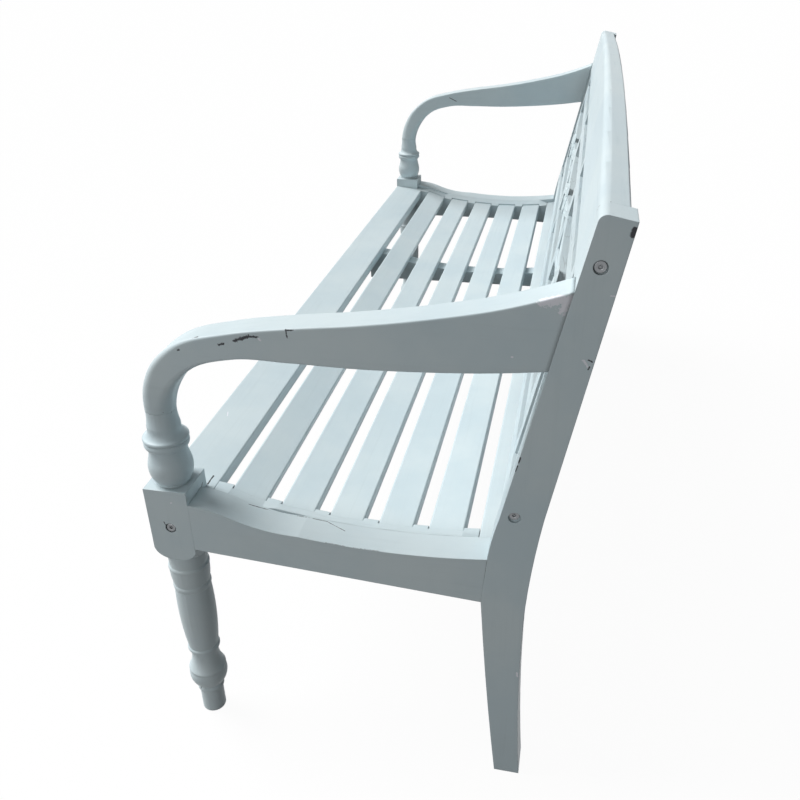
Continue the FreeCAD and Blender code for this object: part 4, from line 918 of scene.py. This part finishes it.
class BENCH_OT_back(bpy.types.Operator):
    """Paints the crest rail, bottom rail, muntins and fret panels"""

    bl_idname = "bench.back"
    bl_label = "Paint back"

    def execute(self, context):
        dress(painted("back_rail_paint", ALONG_X, CREST_MARKS),
              "crest_rail", "back_bottom_rail")
        dress(painted("muntin_paint", ALONG_Z, dirt=0.2, cracks=0.2),
              *[f"back_muntin_{number}" for number in range(1, 5)])
        # A wide corner reach, which paints shade in the openings of the fret
        dress(painted("fret_paint", ALONG_X, dirt=0.3, cracks=0.28, corner_reach=0.02),
              *[f"fret_panel_{number}" for number in range(1, 4)])
        return {"FINISHED"}


class BENCH_OT_rosettes(bpy.types.Operator):
    """Carves the three rosettes"""

    bl_idname = "bench.rosettes"
    bl_label = "Carve rosettes"

    def execute(self, context):
        carved = painted("rosette_paint", ALONG_Z, dirt=0.3, corner_reach=0.004)
        for number, place in enumerate(PANEL_PLACES, start=1):
            points = rosette_points(place, context.scene.bench_rosettes)
            piece = add_surface(f"carved_rosette_{number}", points, closed_grid(points), carved)
            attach(piece, "root")
            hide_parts(f"rosette_{number}")
        return {"FINISHED"}


class BENCH_OT_veins(bpy.types.Operator):
    """Carves the raised veins along the arms of the fret panels"""

    bl_idname = "bench.veins"
    bl_label = "Carve veins"

    def execute(self, context):
        carved = painted("vein_paint", ALONG_X, dirt=0.3)
        clear = context.scene.bench_rosettes.radius * VEIN_START_SHARE
        for number, (place, half) in enumerate(zip(PANEL_PLACES, PANEL_HALF_WIDTHS), start=1):
            rings = [vein_points(place, half, clear, side, upwards)
                     for side in (1, -1) for upwards in (1, -1)]
            points, faces = join_rings(rings)
            piece = add_surface(f"fret_veins_{number}", points, faces, carved)
            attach(piece, "root")
        return {"FINISHED"}


class BENCH_OT_bolts(bpy.types.Operator):
    """Turns the socket heads and shanks of the six frame bolts"""

    bl_idname = "bench.bolts"
    bl_label = "Make bolts"

    def execute(self, context):
        _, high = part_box("barrel_nuts")
        settings = context.scene.bench_bolts
        reach = HALF_LENGTH - high.x + BOLT_IN_NUT
        rings = [bolt_points(side, depth, height, settings, reach)
                 for side in (1, -1) for depth, height in (FRONT_BOLT, UPPER_BOLT, LOWER_BOLT)]
        points, faces = join_rings(rings)
        steel = dull_steel()
        piece = add_surface("socket_bolts", points, faces, steel, smooth=False)
        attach(piece, "root")
        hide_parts("frame_bolts")
        dress(steel, "barrel_nuts")
        dress(bare_wood(), "rail_dowels")
        return {"FINISHED"}


class BENCH_OT_stage(bpy.types.Operator):
    """Sets up the floor, the lamps, the sky and the camera"""

    bl_idname = "bench.stage"
    bl_label = "Set stage"

    def execute(self, context):
        settings = context.scene.bench_stage
        points = floor_points(FLOOR_REACH)
        material = floor_material(settings)
        floor = add_surface("studio_floor", points, capped_grid(points), material)
        add_lamps(settings)
        context.scene.world = studio_sky(settings)
        context.scene.view_settings.view_transform = "Standard"
        context.scene.camera = bench_camera(settings)
        return {"FINISHED"}


def seen_rays(tree):
    """1 for what the camera sees straight or in gloss, otherwise 0."""
    rays = place_node(tree, "ShaderNodeLightPath").outputs
    return work_out(tree, "MAXIMUM", rays["Is Camera Ray"], rays["Is Glossy Ray"])


def floor_material(settings):
    """Pale floor that shows white to the camera and in gloss, and keeps a faint shadow."""
    material, tree, shader = open_material("studio_floor")
    seen = seen_rays(tree)
    shade = blend_colours(tree, seen, FLOOR_BOUNCE, (*settings.floor, 1))
    tree.links.new(shade, shader.inputs["Base Color"])
    shader.inputs["Roughness"].default_value = 1.0
    shader.inputs["Specular IOR Level"].default_value = 0.0
    glow = place_node(tree, "ShaderNodeEmission", None, {"Color": WHITE, "Strength": 1.0})
    share = work_out(tree, "MULTIPLY", seen, FLOOR_GLOW)
    both = place_node(
        tree, "ShaderNodeMixShader", None, {0: share, 1: shader.outputs[0], 2: glow.outputs[0]}
    )
    tree.links.new(both.outputs[0], tree.nodes["Material Output"].inputs["Surface"])
    return material


def add_lamps(settings):
    """A soft light from above the front, and a wide lamp beyond the near end."""
    key = bpy.data.lights.new("key_light", "SUN")
    key.energy = settings.key
    key.angle = KEY_SPREAD
    lamp = bpy.data.objects.new("key_light", key)
    lamp.rotation_euler = KEY_TURN
    bpy.context.scene.collection.objects.link(lamp)
    fill = bpy.data.lights.new("fill_light", "AREA")
    fill.energy = settings.fill
    fill.size = FILL_SIZE
    lamp = bpy.data.objects.new("fill_light", fill)
    lamp.location = FILL_PLACE
    towards = Vector(FILL_AIM) - lamp.location
    lamp.rotation_euler = towards.to_track_quat("-Z", "Y").to_euler()
    lamp.visible_camera = False
    bpy.context.scene.collection.objects.link(lamp)


def studio_sky(settings):
    """Even light from all round, white to the camera and in gloss."""
    world = bpy.data.worlds.new("studio_sky")
    world.use_nodes = True
    tree = world.node_tree
    strength = fade(tree, seen_rays(tree), 0.0, 1.0, settings.sky, 1.0)
    background = tree.nodes["Background"]
    background.inputs["Color"].default_value = WHITE
    tree.links.new(strength, background.inputs["Strength"])
    return world


def bench_camera(settings):
    """The camera where the photograph was taken."""
    data = bpy.data.cameras.new("bench_camera")
    data.sensor_width = 36.0
    data.lens = settings.lens
    data.shift_x, data.shift_y = settings.shift
    data.clip_start = 0.05
    data.clip_end = 250.0
    camera = bpy.data.objects.new("bench_camera", data)
    turn = (Matrix.Rotation(settings.heading, 4, "Z") @ Matrix.Rotation(settings.tilt, 4, "X")
            @ Matrix.Rotation(settings.roll, 4, "Z"))
    camera.matrix_world = Matrix.Translation(settings.place) @ turn
    bpy.context.scene.collection.objects.link(camera)
    return camera


class BENCH_PT_panel(bpy.types.Panel):
    """The bench's steps in the sidebar"""

    bl_idname = "BENCH_PT_panel"
    bl_label = "Deacons bench"
    bl_space_type = "VIEW_3D"
    bl_region_type = "UI"
    bl_category = "Bench"

    def draw(self, context):
        for step in STEPS:
            self.layout.operator(step.bl_idname)


SETTINGS = {
    "bench_paint": PaintSettings,
    "bench_rosettes": RosetteSettings,
    "bench_bolts": BoltSettings,
    "bench_stage": StageSettings,
}
STEPS = [
    BENCH_OT_posts, BENCH_OT_arms, BENCH_OT_seat, BENCH_OT_back, BENCH_OT_rosettes, BENCH_OT_veins,
    BENCH_OT_bolts, BENCH_OT_stage,
]
GROUPS = [weathered_paint_group, worn_arris_group, grime_and_shade_group, dry_cracks_group, mark_group]


def register():
    """Registers the settings, the steps and the panel."""
    for settings in SETTINGS.values():
        bpy.utils.register_class(settings)
    for name, settings in SETTINGS.items():
        setattr(bpy.types.Scene, name, PointerProperty(type=settings))
    for step in (*STEPS, BENCH_PT_panel):
        bpy.utils.register_class(step)


def unregister():
    """Takes back what register added."""
    for step in (BENCH_PT_panel, *reversed(STEPS)):
        bpy.utils.unregister_class(step)
    for name, settings in SETTINGS.items():
        delattr(bpy.types.Scene, name)
        bpy.utils.unregister_class(settings)


def main():
    """Registers the add-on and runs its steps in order."""
    register()
    for make_group in GROUPS:
        make_group()
    bpy.ops.bench.posts()
    bpy.ops.bench.arms()
    bpy.ops.bench.seat()
    bpy.ops.bench.back()
    bpy.ops.bench.rosettes()
    bpy.ops.bench.veins()
    bpy.ops.bench.bolts()
    bpy.ops.bench.stage()
    bpy.context.view_layer.update()


if __name__ == "__main__":
    main()
